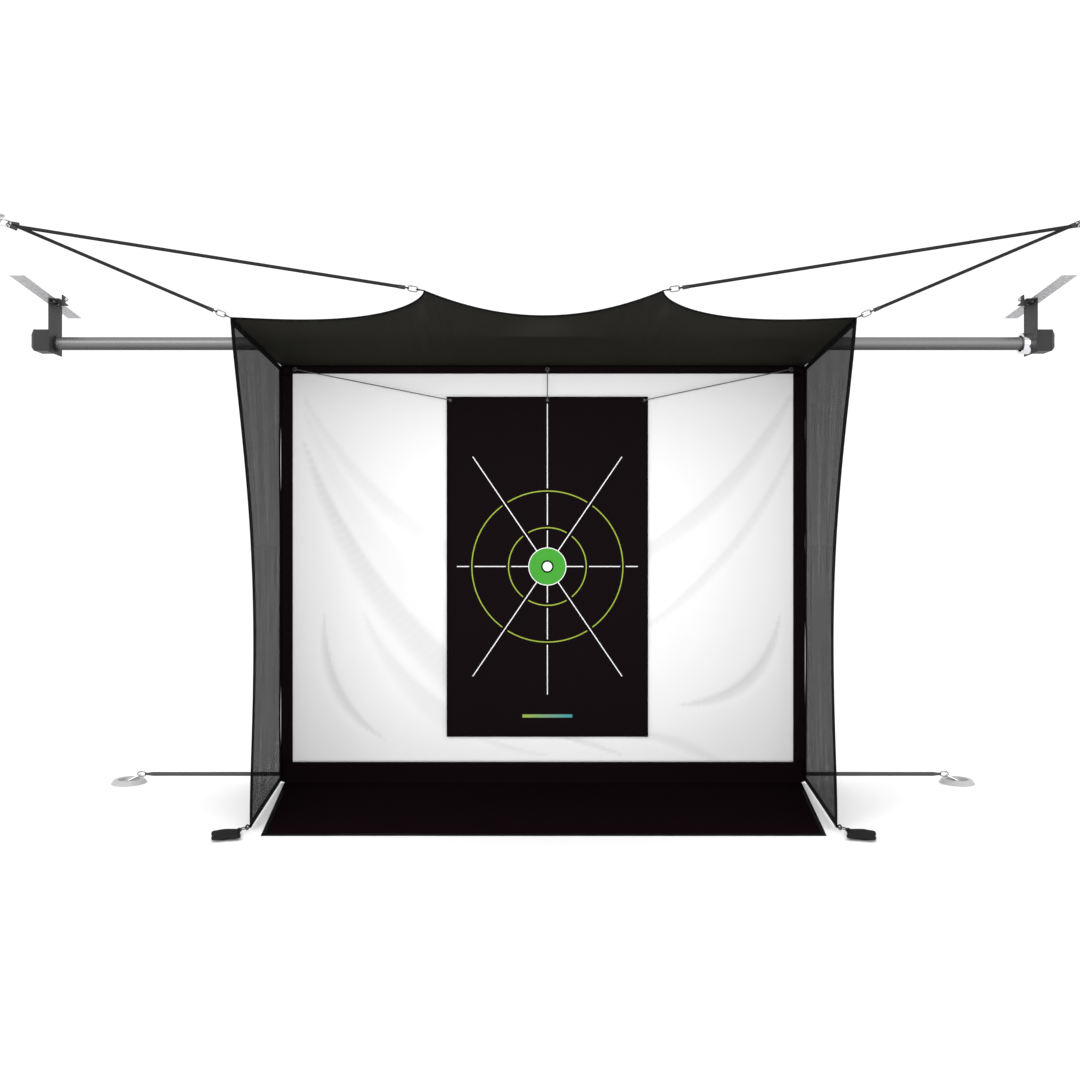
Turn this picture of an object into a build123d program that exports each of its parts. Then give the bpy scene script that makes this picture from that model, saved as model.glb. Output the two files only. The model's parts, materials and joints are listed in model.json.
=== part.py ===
from build123d import *
import math
import os

# Golf practice enclosure that hangs on a roller between two overhead door rails.
# Millimetres. +X is to the golfer's right, +Y away from the golfer, +Z up.
# The origin is on the floor, in the middle of the footprint.

# ---- driving dimensions ---------------------------------------------------
SCREEN_Y = 485.0                        # front face of the screen cloth
HALF_DEPTH = 685.0                      # from the origin to the rails' back ends and the ceiling plates
CLOTH = 3.0                             # thickness of every cloth panel
GAP = 0.4                               # clearance between neighbouring pieces
CUT = 60.0                              # length of cutting tools, well past what they cut

# screen and its border
SCREEN_HALF = 1264.0
SCREEN_LOW, SCREEN_HIGH = 105.0, 2063.0
NET_HALF = 1318.0                       # outer edge of the border, where the side nets start
SEAM_Z = 2095.0                         # seam between the border and the top net
BORDER_LOW = 12.0

# net corners, measured forward from the screen
TOP_CORNER = (1305.0, -921.0, 2149.0)
LOW_CORNER = (1234.0, -880.0, 8.0)
PEAK = (484.0, -1080.0, 2226.0)
DIP_Y, DIP_Z = -950.0, 2151.0           # front edge at its dip between the two peaks
SIDE_DIP_Y, SIDE_DIP_Z = -848.0, 2170.0  # and at its dip between a corner and a peak
SIDE_DIP_AT = 0.34                      # share of the way from the peak to the corner at that dip
SIDE_DIP_POWERS = (0.57, 1.1)           # steep beside the peak, flat towards the corner
SIDE_CUT, CUT_POWER = 186.0, 1.5        # how far the side nets' front edges curve in
FRONT_TAPE, TAPE = 50.0, 24.0           # width of the binding on the front edge, and on the others
TAPE_THICK = 5.0
SIDE_PANELS = 10                        # flat strips that a side net is made of
MIDDLE_PANELS = 3                       # and the top net from its middle to a peak
OUTER_LINES = (0.06, 0.2, 0.4, 0.7, 1.0)    # where its strips end between a peak and a corner

# floor skirt
SKIRT_BACK_HALF, SKIRT_FRONT_HALF = 1300.0, 1167.0
SKIRT_REACH = 974.0
SKIRT_HINGE_Y = -1.0

# roller
ROLLER_Y, ROLLER_Z = -33.0, 2202.0
TUBE_R, TUBE_WALL, TUBE_HALF = 32.5, 2.0, 2452.0
WRAP_R = 35.5                           # outside of the cloth wound on the tube
LEADER_LAP = 28.0                       # leader cloth below the seam
AXLE_R, AXLE_OUT, RUN_CLEAR = 10.0, 46.0, 0.08
PLUG_DEEP, PLUG_INSET, PLUG_EASE = 44.0, 1.0, 0.05
BEARING_R, BEARING_LONG, BEARING_OFF = 38.5, 30.0, 12.0

# brackets
PLATE_X, PLATE_THICK = 2429.0, 5.0
PLATE_FRONT, PLATE_BACK = -118.0, 26.0
PLATE_LOW = 2147.0
SHELF_IN, SHELF_SHARE = 49.0, 0.72      # shelf reach towards the net, and its length against the plate's
LIP_HIGH, LIP_LONG, LIP_HOLE_R = 30.0, 36.0, 4.0
BUSH_R, BUSH_RIM_R, BUSH_RIM_LONG = 39.0, 39.6, 8.0
COLLAR_R, COLLAR_BORE, COLLAR_LONG = 52.0, 40.0, 44.0

# bolts, nuts and pinch screws that hold the brackets to the rails
BOLT_R, BOLT_LONG, HEX_R = 4.0, 22.0, 7.0
HEAD_HIGH, NUT_HIGH, NUT_BORE_R = 5.5, 6.5, 4.1
PINCH_R, PINCH_UP, PINCH_OUT = 3.6, 9.0, 9.0
KNOB_R, KNOB_LONG = 9.0, 8.0
PINCH_FOOT = (3.0, 16.0, 14.6)

# hanger rails
RAIL_X, RAIL_WIDE, RAIL_LONG, RAIL_THICK = 2440.0, 68.0, 630.0, 3.0
RAIL_TILT = 6.4                         # degrees, front end higher
RAIL_MID_Y = HALF_DEPTH - SCREEN_Y - RAIL_LONG / 2 * math.cos(math.radians(RAIL_TILT))
RAIL_MID_Z = 2411.0
RAIL_PITCH, RAIL_HOLES, RAIL_HOLE_R = 50.0, 12, 4.5
ROW_OFF, MID_HOLE_R = 20.0, 2.5         # bolt rows from the middle line, and its own small holes

# end housings
HOUSE_X, HOUSE_LONG, COVER_LONG = 2434.5, 84.0, 23.5
HOUSE_HALF_Y, HOUSE_HALF_Z, HOUSE_WALL = 50.0, 53.0, 4.0
HOUSE_Z, HOUSE_BEVEL, HOUSE_EDGE = 2212.0, 20.0, 5.0
COVER_HOLE_R, COVER_SCREW_R, COVER_SCREW_LONG = 2.2, 2.0, 16.0
COVER_HEAD_R, COVER_HEAD_HIGH = 4.2, 2.5

# target sheet
TARGET_X, TARGET_HALF = 22.0, 505.0
TARGET_LOW, TARGET_HIGH = 234.0, 1940.0
EYE_IN = 18.0                           # target eyelets from the sheet's edges
HOOK_X, HOOK_Y, HOOK_Z = 1246.0, -10.0, 2078.0
TARGET_Y = HOOK_Y - CLOTH / 2           # front face, so that the sheet hangs plumb under its buttons
TARGET_CORD_R, LOOP_R, LOOP_WIRE_R, KNOT_R = 2.25, 9.0, 2.0, 7.5
BUTTON_STEM_R, BUTTON_STEM_LONG, BUTTON_R, BUTTON_HIGH = 4.0, 18.0, 8.0, 4.0
TARGET_EYE_R, TARGET_EYE_RIM_R = 5.0, 9.0

# snap links and bungee cords
WIRE_R, LINK_HALF_W, LINK_STRAIGHT = 2.5, 10.5, 20.0
LINK_START = 3.1                        # end bar of a link from the centre of its eyelet
LINK_END = LINK_START + 2 * LINK_HALF_W + LINK_STRAIGHT
GATE_NOSE, GATE_PIVOT, GATE_R = LINK_START + 11.5, LINK_START + 26.9, 2.2
PIN_R, EAR_THICK, EAR_ROOT, EAR_BLOCK = 0.9, 1.2, 0.8, 4.0
TAB_HOLE_R, TAB_OFF, TAB_START, TAB_MARGIN = 6.0, 20.0, 7.0, 6.0
EYE_RIM = 3.0                           # width of an eyelet's flat rim
LOW_RING_UP = 8.0                       # weight bag rings above the net's lower corners
BUNGEE_R, FERRULE_R, FERRULE_LONG = 7.0, 8.2, 25.0
END_EYE_R, END_WIRE_R = 8.0, 2.0
CEILING_PLATE_R, CEILING_RING_R, CEILING_ROD_R = 25.0, 22.0, 3.2
CEILING = (2166.0, CEILING_PLATE_R - HALF_DEPTH - SCREEN_Y, 2487.0)     # where a ring hangs on its eye
CEILING_PLATE_THICK, PLATE_SCREW_OFF, PLATE_SCREW_R = 5.0, 17.0, 2.6
CEILING_STEM_R, CEILING_STEM_LONG = 5.0, 12.0
CEILING_EYE_PLAY = 1.5
EYE_SHIFT, EYE_SLACK = 8.2, 1.2         # cord eyes along the ceiling ring, and their play on it

# floor anchors and straps
ANCHOR_X, PAN_R, PAN_HIGH = 2081.0, 85.0, 20.0
PAN_EDGE, PAN_SLOPE, PAN_FLOOR = 3.0, 13.0, 3.0
RECESS_TOP_R, RECESS_R = 53.0, 50.0
SCREW_CIRCLE_R, PAN_SCREW_R = 62.5, 3.2
SADDLE = (22.0, 42.0, 14.0)             # saddle block, with a round top on the ring's pivot line
RING_REACH, RING_ROD_R, RING_BEND_R = 60.0, 4.0, 8.0
RING_WIDE, RING_NARROW = 33.0, 15.0     # half lengths of the ring's pivot bar and tip
RING_PIVOT_Z, RING_SLACK = 14.0, 3.5
STRAP_Z, STRAP_HALF, STRAP_THICK = 45.0, 10.0, 2.5
STRAP_START = 1.0                       # clearance of a strap from the side net's back edge
STRAP_LOOP_R, STRAP_LOOP_BORE_R, LOOP_WIDE = 8.5, 6.0, 12.0

# weight bags
BAG_HALF, BAG_HIGH, BAG_WAY = 54.0, 42.0, (0.47, -0.883)
BAG_LAYERS = ((0, 1.5), (0.45, 2.0), (1.0, 1.2))    # share of its height, and width in half widths
BAG_LOOP_R, BAG_LOOP_BORE_R, BAG_LOOP_OFF = 8.0, 5.8, 3.0
BAG_NECK = (10.0, 4.0, 12.0)

LEFT, RIGHT = -1, 1
SIDES = {"left": LEFT, "right": RIGHT}


# ---- helpers --------------------------------------------------------------
def at(x, y, z):
    """A point whose y is measured from the screen's front face."""
    return Vector(x, y + SCREEN_Y, z)


def sided(side, point):
    """A point of the right-hand half, moved to the side asked for."""
    return at(side * point[0], point[1], point[2])


def rod(start, end, radius):
    return Solid.make_cylinder(radius, (end - start).length, Plane(start, z_dir=end - start))


def tube_x(x_low, x_high, outer, inner=0.0, y=ROLLER_Y, z=ROLLER_Z):
    """A round bar or tube along X."""
    start, end = at(x_low, y, z), at(x_high, y, z)
    body = rod(start, end, outer)
    return body - rod(start, end, inner) if inner else body


def side_tube(side, near, far, outer, inner=0.0, y=ROLLER_Y, z=ROLLER_Z):
    """A round bar or tube along X on one side, between two distances from the middle."""
    return tube_x(*sorted((side * near, side * far)), outer, inner, y, z)


def block(low, high):
    """A box between two corners, its y measured from the screen."""
    size = [h - l for l, h in zip(low, high)]
    middle = [(h + l) / 2 for l, h in zip(low, high)]
    return Pos(at(*middle)) * Box(*size)


def x_block(side, x_low, x_high, y_low, y_high, z_low, z_high):
    """A box on one side of the centre, from the smaller to the larger distance out."""
    xs = sorted((side * x_low, side * x_high))
    return block((xs[0], y_low, z_low), (xs[1], y_high, z_high))


def ruled_sheet(lines, thick):
    """A thin solid through straight lines, each a pair of points, thickened by a vector."""
    sections = []
    for start, end in lines:
        corners = [start, end, end + thick, start + thick]
        sections.append(Face(Wire.make_polygon(corners, close=True)))
    return loft(sections, ruled=True)


def towards(start, end, distance):
    return start + (end - start).normalized() * distance


def steps(count):
    return [i / count for i in range(count + 1)]


# ---- cloth ----------------------------------------------------------------
def side_line(side, rise):
    """Back and front point of a side net at a share of its height, from 0 to 1."""
    back = at(side * NET_HALF, 0, LOW_CORNER[2] + (SEAM_Z - LOW_CORNER[2]) * rise)
    low, top = sided(side, LOW_CORNER), sided(side, TOP_CORNER)
    cut = (4 * rise * (1 - rise)) ** CUT_POWER * SIDE_CUT
    return back, low + (top - low) * rise + Vector(0, cut, 0)


def side_shares():
    """Shares of a side net's height, with the two at which its binding ends."""
    edge = (TAPE + GAP) / (SEAM_Z - LOW_CORNER[2])
    return [0, edge, *steps(SIDE_PANELS)[1:-1], 1 - edge, 1]


def side_net(side):
    """Side panel, inside its binding."""
    lines = []
    for share in side_shares()[1:-1]:
        back, front = side_line(side, share)
        lines.append((back, towards(front, back, FRONT_TAPE + 2 * GAP)))
    return ruled_sheet(lines, Vector(side * CLOTH, 0, 0))


def side_binding(side):
    """Tape on the front, bottom and top edges of a side net, as three solids."""
    thick = Vector(side * TAPE_THICK, 0, 0)
    tall = SEAM_Z - LOW_CORNER[2]
    front_lines = []
    for share in side_shares():
        back, front = side_line(side, share)
        front_lines.append((towards(front, back, FRONT_TAPE), front))
    tapes = [ruled_sheet(front_lines, thick)]
    for low, high in ((0, TAPE / tall), (1 - TAPE / tall, 1)):
        lines = []
        for share in (low, high):
            back, front = side_line(side, share)
            lines.append((back, towards(front, back, FRONT_TAPE + GAP)))
        tapes.append(ruled_sheet(lines, thick))
    return Compound(tapes)


def top_front(x):
    """Point of the top net's front edge: hanging curves between its four held points."""
    far, peak = TOP_CORNER[0], PEAK[0]
    side, out = math.copysign(1, x), abs(x)
    if out <= peak:
        share = (out / peak) ** 2
        y = DIP_Y + (PEAK[1] - DIP_Y) * share
        z = DIP_Z + (PEAK[2] - DIP_Z) * share
        return at(x, y, z)
    share = (out - peak) / (far - peak)
    rise, fall = SIDE_DIP_POWERS
    belly = (share / SIDE_DIP_AT) ** rise * ((1 - share) / (1 - SIDE_DIP_AT)) ** fall
    start, end = sided(side, PEAK), sided(side, TOP_CORNER)
    dip = at(0, SIDE_DIP_Y, SIDE_DIP_Z) - start - (end - start) * SIDE_DIP_AT
    return start + (end - start) * share + Vector(0, dip.Y, dip.Z) * belly


def net_lines():
    """Places across the top net of its straight lines, closer together beside the peaks."""
    far, peak = TOP_CORNER[0], PEAK[0]
    right = [peak * share for share in steps(MIDDLE_PANELS)]
    right += [peak + (far - peak) * share for share in OUTER_LINES]
    return [-x for x in reversed(right[1:])] + right


def top_net():
    """Canopy panel, a ruled surface from the seam to its scalloped front edge."""
    lines = []
    for x in net_lines():
        back = at(x * NET_HALF / TOP_CORNER[0], 0, SEAM_Z + GAP)
        lines.append((back, top_front(x)))
    return ruled_sheet(lines, Vector(0, 0, CLOTH))


def screen_border():
    """Top and side strips round the screen, as three solids."""
    strips = [block((-NET_HALF, 0, SCREEN_HIGH + GAP), (NET_HALF, CLOTH, SEAM_Z))]
    for side in SIDES.values():
        strips.append(x_block(side, SCREEN_HALF + GAP, NET_HALF - GAP, 0, CLOTH,
                              SCREEN_LOW + GAP, SCREEN_HIGH))
    return Compound(strips)


def floor_skirt():
    """Flap that lies on the floor, wider at the back."""
    back_y = SKIRT_HINGE_Y - CLOTH + 1
    lines = [
        (at(-SKIRT_BACK_HALF, back_y, 0), at(SKIRT_BACK_HALF, back_y, 0)),
        (at(-SKIRT_FRONT_HALF, -SKIRT_REACH, 0), at(SKIRT_FRONT_HALF, -SKIRT_REACH, 0)),
    ]
    return ruled_sheet(lines, Vector(0, 0, CLOTH))


# ---- hanger rails and brackets ----------------------------------------------
def rail_plane(side):
    """Plane on the underside of a rail: local x across it, local y along it."""
    tilt = math.radians(-RAIL_TILT)
    up = Vector(0, -math.sin(tilt), math.cos(tilt))
    return Plane(sided(side, (RAIL_X, RAIL_MID_Y, RAIL_MID_Z)), x_dir=(1, 0, 0), z_dir=up)


def hole_places():
    """Distances of a rail's bolt holes from its middle, along it."""
    return [(i - (RAIL_HOLES - 1) / 2) * RAIL_PITCH for i in range(RAIL_HOLES)]


def hanger_rail(side):
    """Punched flat strip: two rows of bolt holes and a middle row of small ones."""
    strip = Pos(0, 0, RAIL_THICK / 2) * Box(RAIL_WIDE, RAIL_LONG, RAIL_THICK)
    holes = []
    for y in hole_places():
        for row in (-ROW_OFF, ROW_OFF):
            holes.append(Pos(row, y, 0) * Cylinder(RAIL_HOLE_R, CUT))
    for y in hole_places()[:-1]:
        holes.append(Pos(0, y + RAIL_PITCH / 2, 0) * Cylinder(MID_HOLE_R, CUT))
    return rail_plane(side) * (strip - holes)


def bolt_places():
    """The two rail holes nearest the bracket's middle."""
    middle = (PLATE_FRONT + PLATE_BACK) / 2 - RAIL_MID_Y
    return sorted(hole_places(), key=lambda y: abs(y - middle))[:2]


def shelf_edges(side):
    """Inner and outer edge of a bracket's shelf, in the rail plane's local x."""
    plate = side * (PLATE_X - RAIL_X)
    return plate - side * SHELF_IN, plate + side * PLATE_THICK


def bracket(side):
    """Bent steel hanger: a shelf bolted under the rail, a lip at its inner edge, a plate below."""
    plane = rail_plane(side)
    mid_y = sum(bolt_places()) / 2
    inner, outer = shelf_edges(side)
    shelf_size = (abs(outer - inner), (PLATE_BACK - PLATE_FRONT) * SHELF_SHARE, PLATE_THICK)
    shelf = Pos((inner + outer) / 2, mid_y, -(GAP + PLATE_THICK) / 2) * Box(*shelf_size)
    lip_x = inner + side * PLATE_THICK / 2
    lip_size = (PLATE_THICK, LIP_LONG, LIP_HIGH + PLATE_THICK)
    lip = Pos(lip_x, mid_y, (LIP_HIGH - GAP - PLATE_THICK) / 2) * Box(*lip_size)
    pinch_bore = Pos(lip_x, mid_y, PINCH_UP + RAIL_THICK / 2) * Rot(0, 90, 0) * Cylinder(LIP_HOLE_R, CUT)
    holes = [Pos(-side * ROW_OFF, y, 0) * Cylinder(RAIL_HOLE_R, CUT) for y in bolt_places()]
    top = plane * (shelf + lip - pinch_bore - holes)
    plate = x_block(side, PLATE_X, PLATE_X + PLATE_THICK, PLATE_FRONT, PLATE_BACK,
                    PLATE_LOW, RAIL_MID_Z + CUT)
    above = plane * Pos(0, 0, RAIL_LONG / 2 - GAP / 2) * Box(RAIL_LONG, 2 * RAIL_LONG, RAIL_LONG)
    bore = side_tube(side, PLATE_X - CUT, PLATE_X + CUT, BUSH_R + GAP / 4)
    return top + (plate - above - bore)


def bracket_bolt(side, y):
    """One bolt through the shelf and rail, and its nut, in the rail plane."""
    spot = Pos(-side * ROW_OFF, y, 0)
    shank = Pos(0, 0, 1) * Cylinder(BOLT_R, BOLT_LONG)
    head = Pos(0, 0, -PLATE_THICK - GAP / 4 - HEAD_HIGH - GAP) * extrude(RegularPolygon(HEX_R, 6), HEAD_HIGH)
    nut = Pos(0, 0, RAIL_THICK + GAP / 4) * extrude(RegularPolygon(HEX_R, 6), NUT_HIGH)
    return [spot * (shank + head), spot * (nut - Cylinder(NUT_BORE_R, CUT))]


def pinch_screw(side):
    """Knobbed screw through the lip, with the foot that bears on the rail's edge."""
    start = shelf_edges(side)[0] - side * PINCH_OUT
    tip = -side * (RAIL_WIDE / 2 + 3 * GAP / 4)
    spot = Pos(0, sum(bolt_places()) / 2, PINCH_UP + RAIL_THICK / 2)
    screw = Pos((start + tip) / 2, 0, 0) * Rot(0, 90, 0) * Cylinder(PINCH_R, abs(tip - start))
    knob = Pos(start - side * KNOB_LONG / 2, 0, 0) * Rot(0, 90, 0) * Cylinder(KNOB_R, KNOB_LONG)
    foot = Pos(tip - side * (PINCH_FOOT[0] + 1) / 2, 0, -PINCH_R + KNOB_LONG / 10) * Box(*PINCH_FOOT)
    return spot * (screw + knob + foot)


def bracket_fasteners(side):
    """Two bolts with nuts through the shelf and rail, and the pinch screw in the lip."""
    pieces = [piece for y in bolt_places() for piece in bracket_bolt(side, y)]
    return [rail_plane(side) * piece for piece in [*pieces, pinch_screw(side)]]


# ---- roller ------------------------------------------------------------------
def tube_plug(side):
    """Plug pressed into the tube's end, with its stub axle."""
    end = TUBE_HALF - PLUG_INSET
    plug = side_tube(side, TUBE_HALF - PLUG_DEEP, end, TUBE_R - TUBE_WALL - PLUG_EASE)
    return plug + side_tube(side, end - PLUG_INSET, TUBE_HALF + AXLE_OUT, AXLE_R)


def roller_bush(side):
    """Flanged bush in the bracket's bore, on which the tube turns."""
    inner, face = TUBE_R + RUN_CLEAR, PLATE_X - GAP
    sleeve = side_tube(side, face, PLATE_X + PLATE_THICK, BUSH_R, inner)
    return sleeve + side_tube(side, PLATE_X - BUSH_RIM_LONG, face, BUSH_RIM_R, inner)


def end_housing(side):
    """Square shell bolted to the outer face of the bracket, open at its outer end."""
    y_low, y_high = ROLLER_Y - HOUSE_HALF_Y, ROLLER_Y + HOUSE_HALF_Y
    z_low, z_high = HOUSE_Z - HOUSE_HALF_Z, HOUSE_Z + HOUSE_HALF_Z
    outer = x_block(side, HOUSE_X, HOUSE_X + HOUSE_LONG, y_low, y_high, z_low, z_high)
    outer = chamfer(outer.edges().filter_by(Axis.X), HOUSE_EDGE)
    hollow = x_block(side, HOUSE_X + HOUSE_WALL, HOUSE_X + HOUSE_LONG + 1,
                     y_low + HOUSE_WALL, y_high - HOUSE_WALL, z_low + HOUSE_WALL, z_high - HOUSE_WALL)
    return outer - hollow - side_tube(side, HOUSE_X - CUT, HOUSE_X + CUT, TUBE_R + 1)


def housing_cover(side):
    """Cap over the shell's outer end, with all its outer edges bevelled."""
    low = HOUSE_X + HOUSE_LONG + GAP / 4
    cover = x_block(side, low, low + COVER_LONG, ROLLER_Y - HOUSE_HALF_Y, ROLLER_Y + HOUSE_HALF_Y,
                    HOUSE_Z - HOUSE_HALF_Z, HOUSE_Z + HOUSE_HALF_Z)
    face = cover.faces().sort_by(Axis.X)[-1 if side == RIGHT else 0]
    cover = chamfer(face.edges(), HOUSE_BEVEL)
    for y, z in screw_places():
        cover -= side_tube(side, low - 1, low + CUT, COVER_HOLE_R, y=y, z=z)
    return cover


def screw_places():
    """Centres of a cover's four screws."""
    reach = HOUSE_HALF_Y - HOUSE_BEVEL - 1.5 * HOUSE_WALL
    return [(ROLLER_Y + a * reach, HOUSE_Z + b * reach) for a in (-1, 1) for b in (-1, 1)]


def housing_screws():
    """Cover screws, four on each side."""
    screws = []
    face = HOUSE_X + HOUSE_LONG + COVER_LONG + GAP / 2
    for side in SIDES.values():
        for y, z in screw_places():
            head = side_tube(side, face, face + COVER_HEAD_HIGH, COVER_HEAD_R, y=y, z=z)
            shank = side_tube(side, face - COVER_SCREW_LONG, face + 1, COVER_SCREW_R, y=y, z=z)
            screws.append(head + shank)
    return Compound(screws)


def axle_bearing(side):
    """Round block in a housing with a bore that carries the roller's stub axle."""
    start = TUBE_HALF + BEARING_OFF
    return side_tube(side, start, start + BEARING_LONG, BEARING_R, AXLE_R + RUN_CLEAR)


# ---- snap links, tabs and cords -----------------------------------------------
def ceiling_apex(side):
    """Outward pull, bar direction and inner point of a ceiling ring, from its two cords."""
    hang = sided(side, CEILING)
    pulls = [(hang - hole_point(side, name)).normalized() for name in ("corner", "peak")]
    pull = (pulls[0] + pulls[1]).normalized()
    bar = pulls[0].cross(pulls[1]).normalized()
    bar = (bar - pull * bar.dot(pull)).normalized()
    return pull, bar, hang - pull * (2 * CEILING_RING_R)


def hole_point(side, name):
    """Centre of the eyelet in a top tab."""
    point = sided(side, TOP_CORNER if name == "corner" else PEAK)
    return towards(point, sided(side, CEILING), TAB_OFF)


def top_link_plane(side, name):
    """Frame of a top link: origin in the eyelet, x along the pull, y along the eyelet's hole."""
    hole = hole_point(side, name)
    pull = (ceiling_apex(side)[2] - hole).normalized()
    up = (Vector(0, 0, 1) - pull * pull.Z).normalized()
    return Plane(hole, x_dir=pull, z_dir=pull.cross(up))


def low_link_plane(side):
    """Frame of a weight bag's ring, lying almost flat."""
    way = Vector(side * BAG_WAY[0], BAG_WAY[1], 0).normalized()
    hole = sided(side, LOW_CORNER) + way * TAB_OFF + Vector(0, 0, LOW_RING_UP)
    return Plane(hole, x_dir=way, z_dir=(0, 0, 1))


def ring_lean():
    """Angle at which an anchor ring rests on the lower side of its link."""
    tip_z = STRAP_Z - LINK_HALF_W + WIRE_R + GAP + RING_ROD_R
    return math.asin((tip_z - RING_PIVOT_Z) / RING_REACH)


def floor_link_plane(side):
    """Frame of the link between a floor strap and its anchor ring."""
    tip = ANCHOR_X - RING_REACH * math.cos(ring_lean())
    start = tip - (LINK_END - WIRE_R - RING_SLACK - RING_ROD_R)
    way = Vector(side, 0, 0)
    return Plane(at(side * start, 0, STRAP_Z), x_dir=way, z_dir=way.cross(Vector(0, 0, 1)))


def half_ring(centre_x, turn):
    """Half of a round wire ring about a point of local x, turned about local z."""
    arc = Plane.XZ * Pos(LINK_HALF_W, 0, 0) * Circle(WIRE_R)
    half = revolve(arc, Axis.Z, 180)
    return Pos(centre_x, 0, 0) * Rot(0, 0, turn) * half


def local_rod(x_low, x_high, y, radius):
    return Pos((x_low + x_high) / 2, y, 0) * Rot(0, 90, 0) * Cylinder(radius, x_high - x_low)


def link_body(closed):
    """Oval wire ring in local axes. An open one has a gap, two ears and the gate's pin."""
    near, far = LINK_START + LINK_HALF_W, LINK_END - LINK_HALF_W
    body = half_ring(near, 90) + half_ring(far, -90) + local_rod(near, far, -LINK_HALF_W, WIRE_R)
    if closed:
        return body + local_rod(near, far, LINK_HALF_W, WIRE_R)
    ear_z = GATE_R + GAP
    root = GATE_PIVOT + GATE_R + EAR_ROOT
    end, start = root + EAR_BLOCK, GATE_PIVOT - EAR_BLOCK / 2
    body += local_rod(near, GATE_NOSE - GAP, LINK_HALF_W, WIRE_R)
    body += Pos((root + end) / 2, LINK_HALF_W, 0) * Box(EAR_BLOCK, 2 * WIRE_R, 2 * (ear_z + EAR_THICK))
    for way in (-1, 1):
        spot = Pos((start + end) / 2, LINK_HALF_W, way * (ear_z + EAR_THICK / 2))
        body += spot * Box(end - start, 2 * WIRE_R, EAR_THICK)
    return body + Pos(GATE_PIVOT, LINK_HALF_W, 0) * Cylinder(PIN_R, 2 * (ear_z + 1))


def link_gate():
    """Sprung gate bar of a snap link, in local axes, with the bore for its pin."""
    bar = local_rod(GATE_NOSE, GATE_PIVOT, LINK_HALF_W, GATE_R)
    bar += Pos(GATE_PIVOT, LINK_HALF_W, 0) * Sphere(GATE_R)
    return bar - Pos(GATE_PIVOT, LINK_HALF_W, 0) * Cylinder(PIN_R + RUN_CLEAR, CUT)


def tab():
    """Webbing tab in local axes, its hole along local y, round at the pulled end."""
    reach = TAB_HOLE_R + TAB_MARGIN
    neck = TAB_OFF - TAB_START
    flat = Pos(-neck / 2, 0, 0) * Box(neck, CLOTH, reach)
    nose = Rot(90, 0, 0) * Cylinder(reach, CLOTH)
    return flat + nose - Rot(90, 0, 0) * Cylinder(TAB_HOLE_R + EYE_RIM + GAP, CUT)


def eyelet(hole, rim, thick):
    """Flat metal ring with its hole along local y."""
    return Rot(90, 0, 0) * (Cylinder(rim, thick) - Cylinder(hole, 2 * thick))


def link_planes():
    """Every snap link's frame, by name."""
    planes = {}
    for label, side in SIDES.items():
        for name in ("corner", "peak"):
            planes[f"{label}_{name}"] = top_link_plane(side, name)
        planes[f"{label}_floor"] = floor_link_plane(side)
    return planes


def cord_end(eye_centre, way, hole_axis):
    """Crimped cord end: a wire eye and a ferrule that points along way."""
    plane = Plane(eye_centre, x_dir=way, z_dir=hole_axis)
    eye = Torus(END_EYE_R, END_WIRE_R)
    return plane * (eye + local_rod(END_EYE_R, END_EYE_R + 1 + FERRULE_LONG, 0, FERRULE_R)
                    - Cylinder(END_EYE_R - END_WIRE_R, CUT))


def bungee_ends(side, name):
    """Eye centres at both ends of a bungee cord and the cord's direction."""
    plane = top_link_plane(side, name)
    pull, bar, apex = ceiling_apex(side)
    low = plane.origin + plane.x_dir * (LINK_END - WIRE_R - GAP - END_WIRE_R + END_EYE_R)
    shift = bar * (EYE_SHIFT if name == "corner" else -EYE_SHIFT)
    ring_curve = CEILING_RING_R - math.sqrt(CEILING_RING_R**2 - EYE_SHIFT**2)
    inset = CEILING_ROD_R + END_WIRE_R + EYE_SLACK - END_EYE_R
    high = apex + shift + pull * ring_curve + plane.x_dir * inset
    return low, high, (high - low).normalized()


def bungee(side, name):
    """One stretched cord, ferrule to ferrule."""
    low, high, way = bungee_ends(side, name)
    inset = END_EYE_R + 1 + FERRULE_LONG
    return rod(low + way * inset, high - way * inset, BUNGEE_R)


def cord_ends():
    """Crimped ends of the four bungee cords."""
    ends = []
    for side in SIDES.values():
        bar = ceiling_apex(side)[1]
        for name in ("corner", "peak"):
            low, high, way = bungee_ends(side, name)
            hole = top_link_plane(side, name).y_dir
            ends.append(cord_end(low, way, (hole - way * hole.dot(way)).normalized()))
            ends.append(cord_end(high, way * -1, (bar - way * bar.dot(way)).normalized()))
    return Compound(ends)


def ceiling_top(side):
    """Centre of the screw plate's upper face."""
    return sided(side, CEILING) + Vector(0, 0, 4 * CEILING_ROD_R + CEILING_STEM_LONG)


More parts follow.
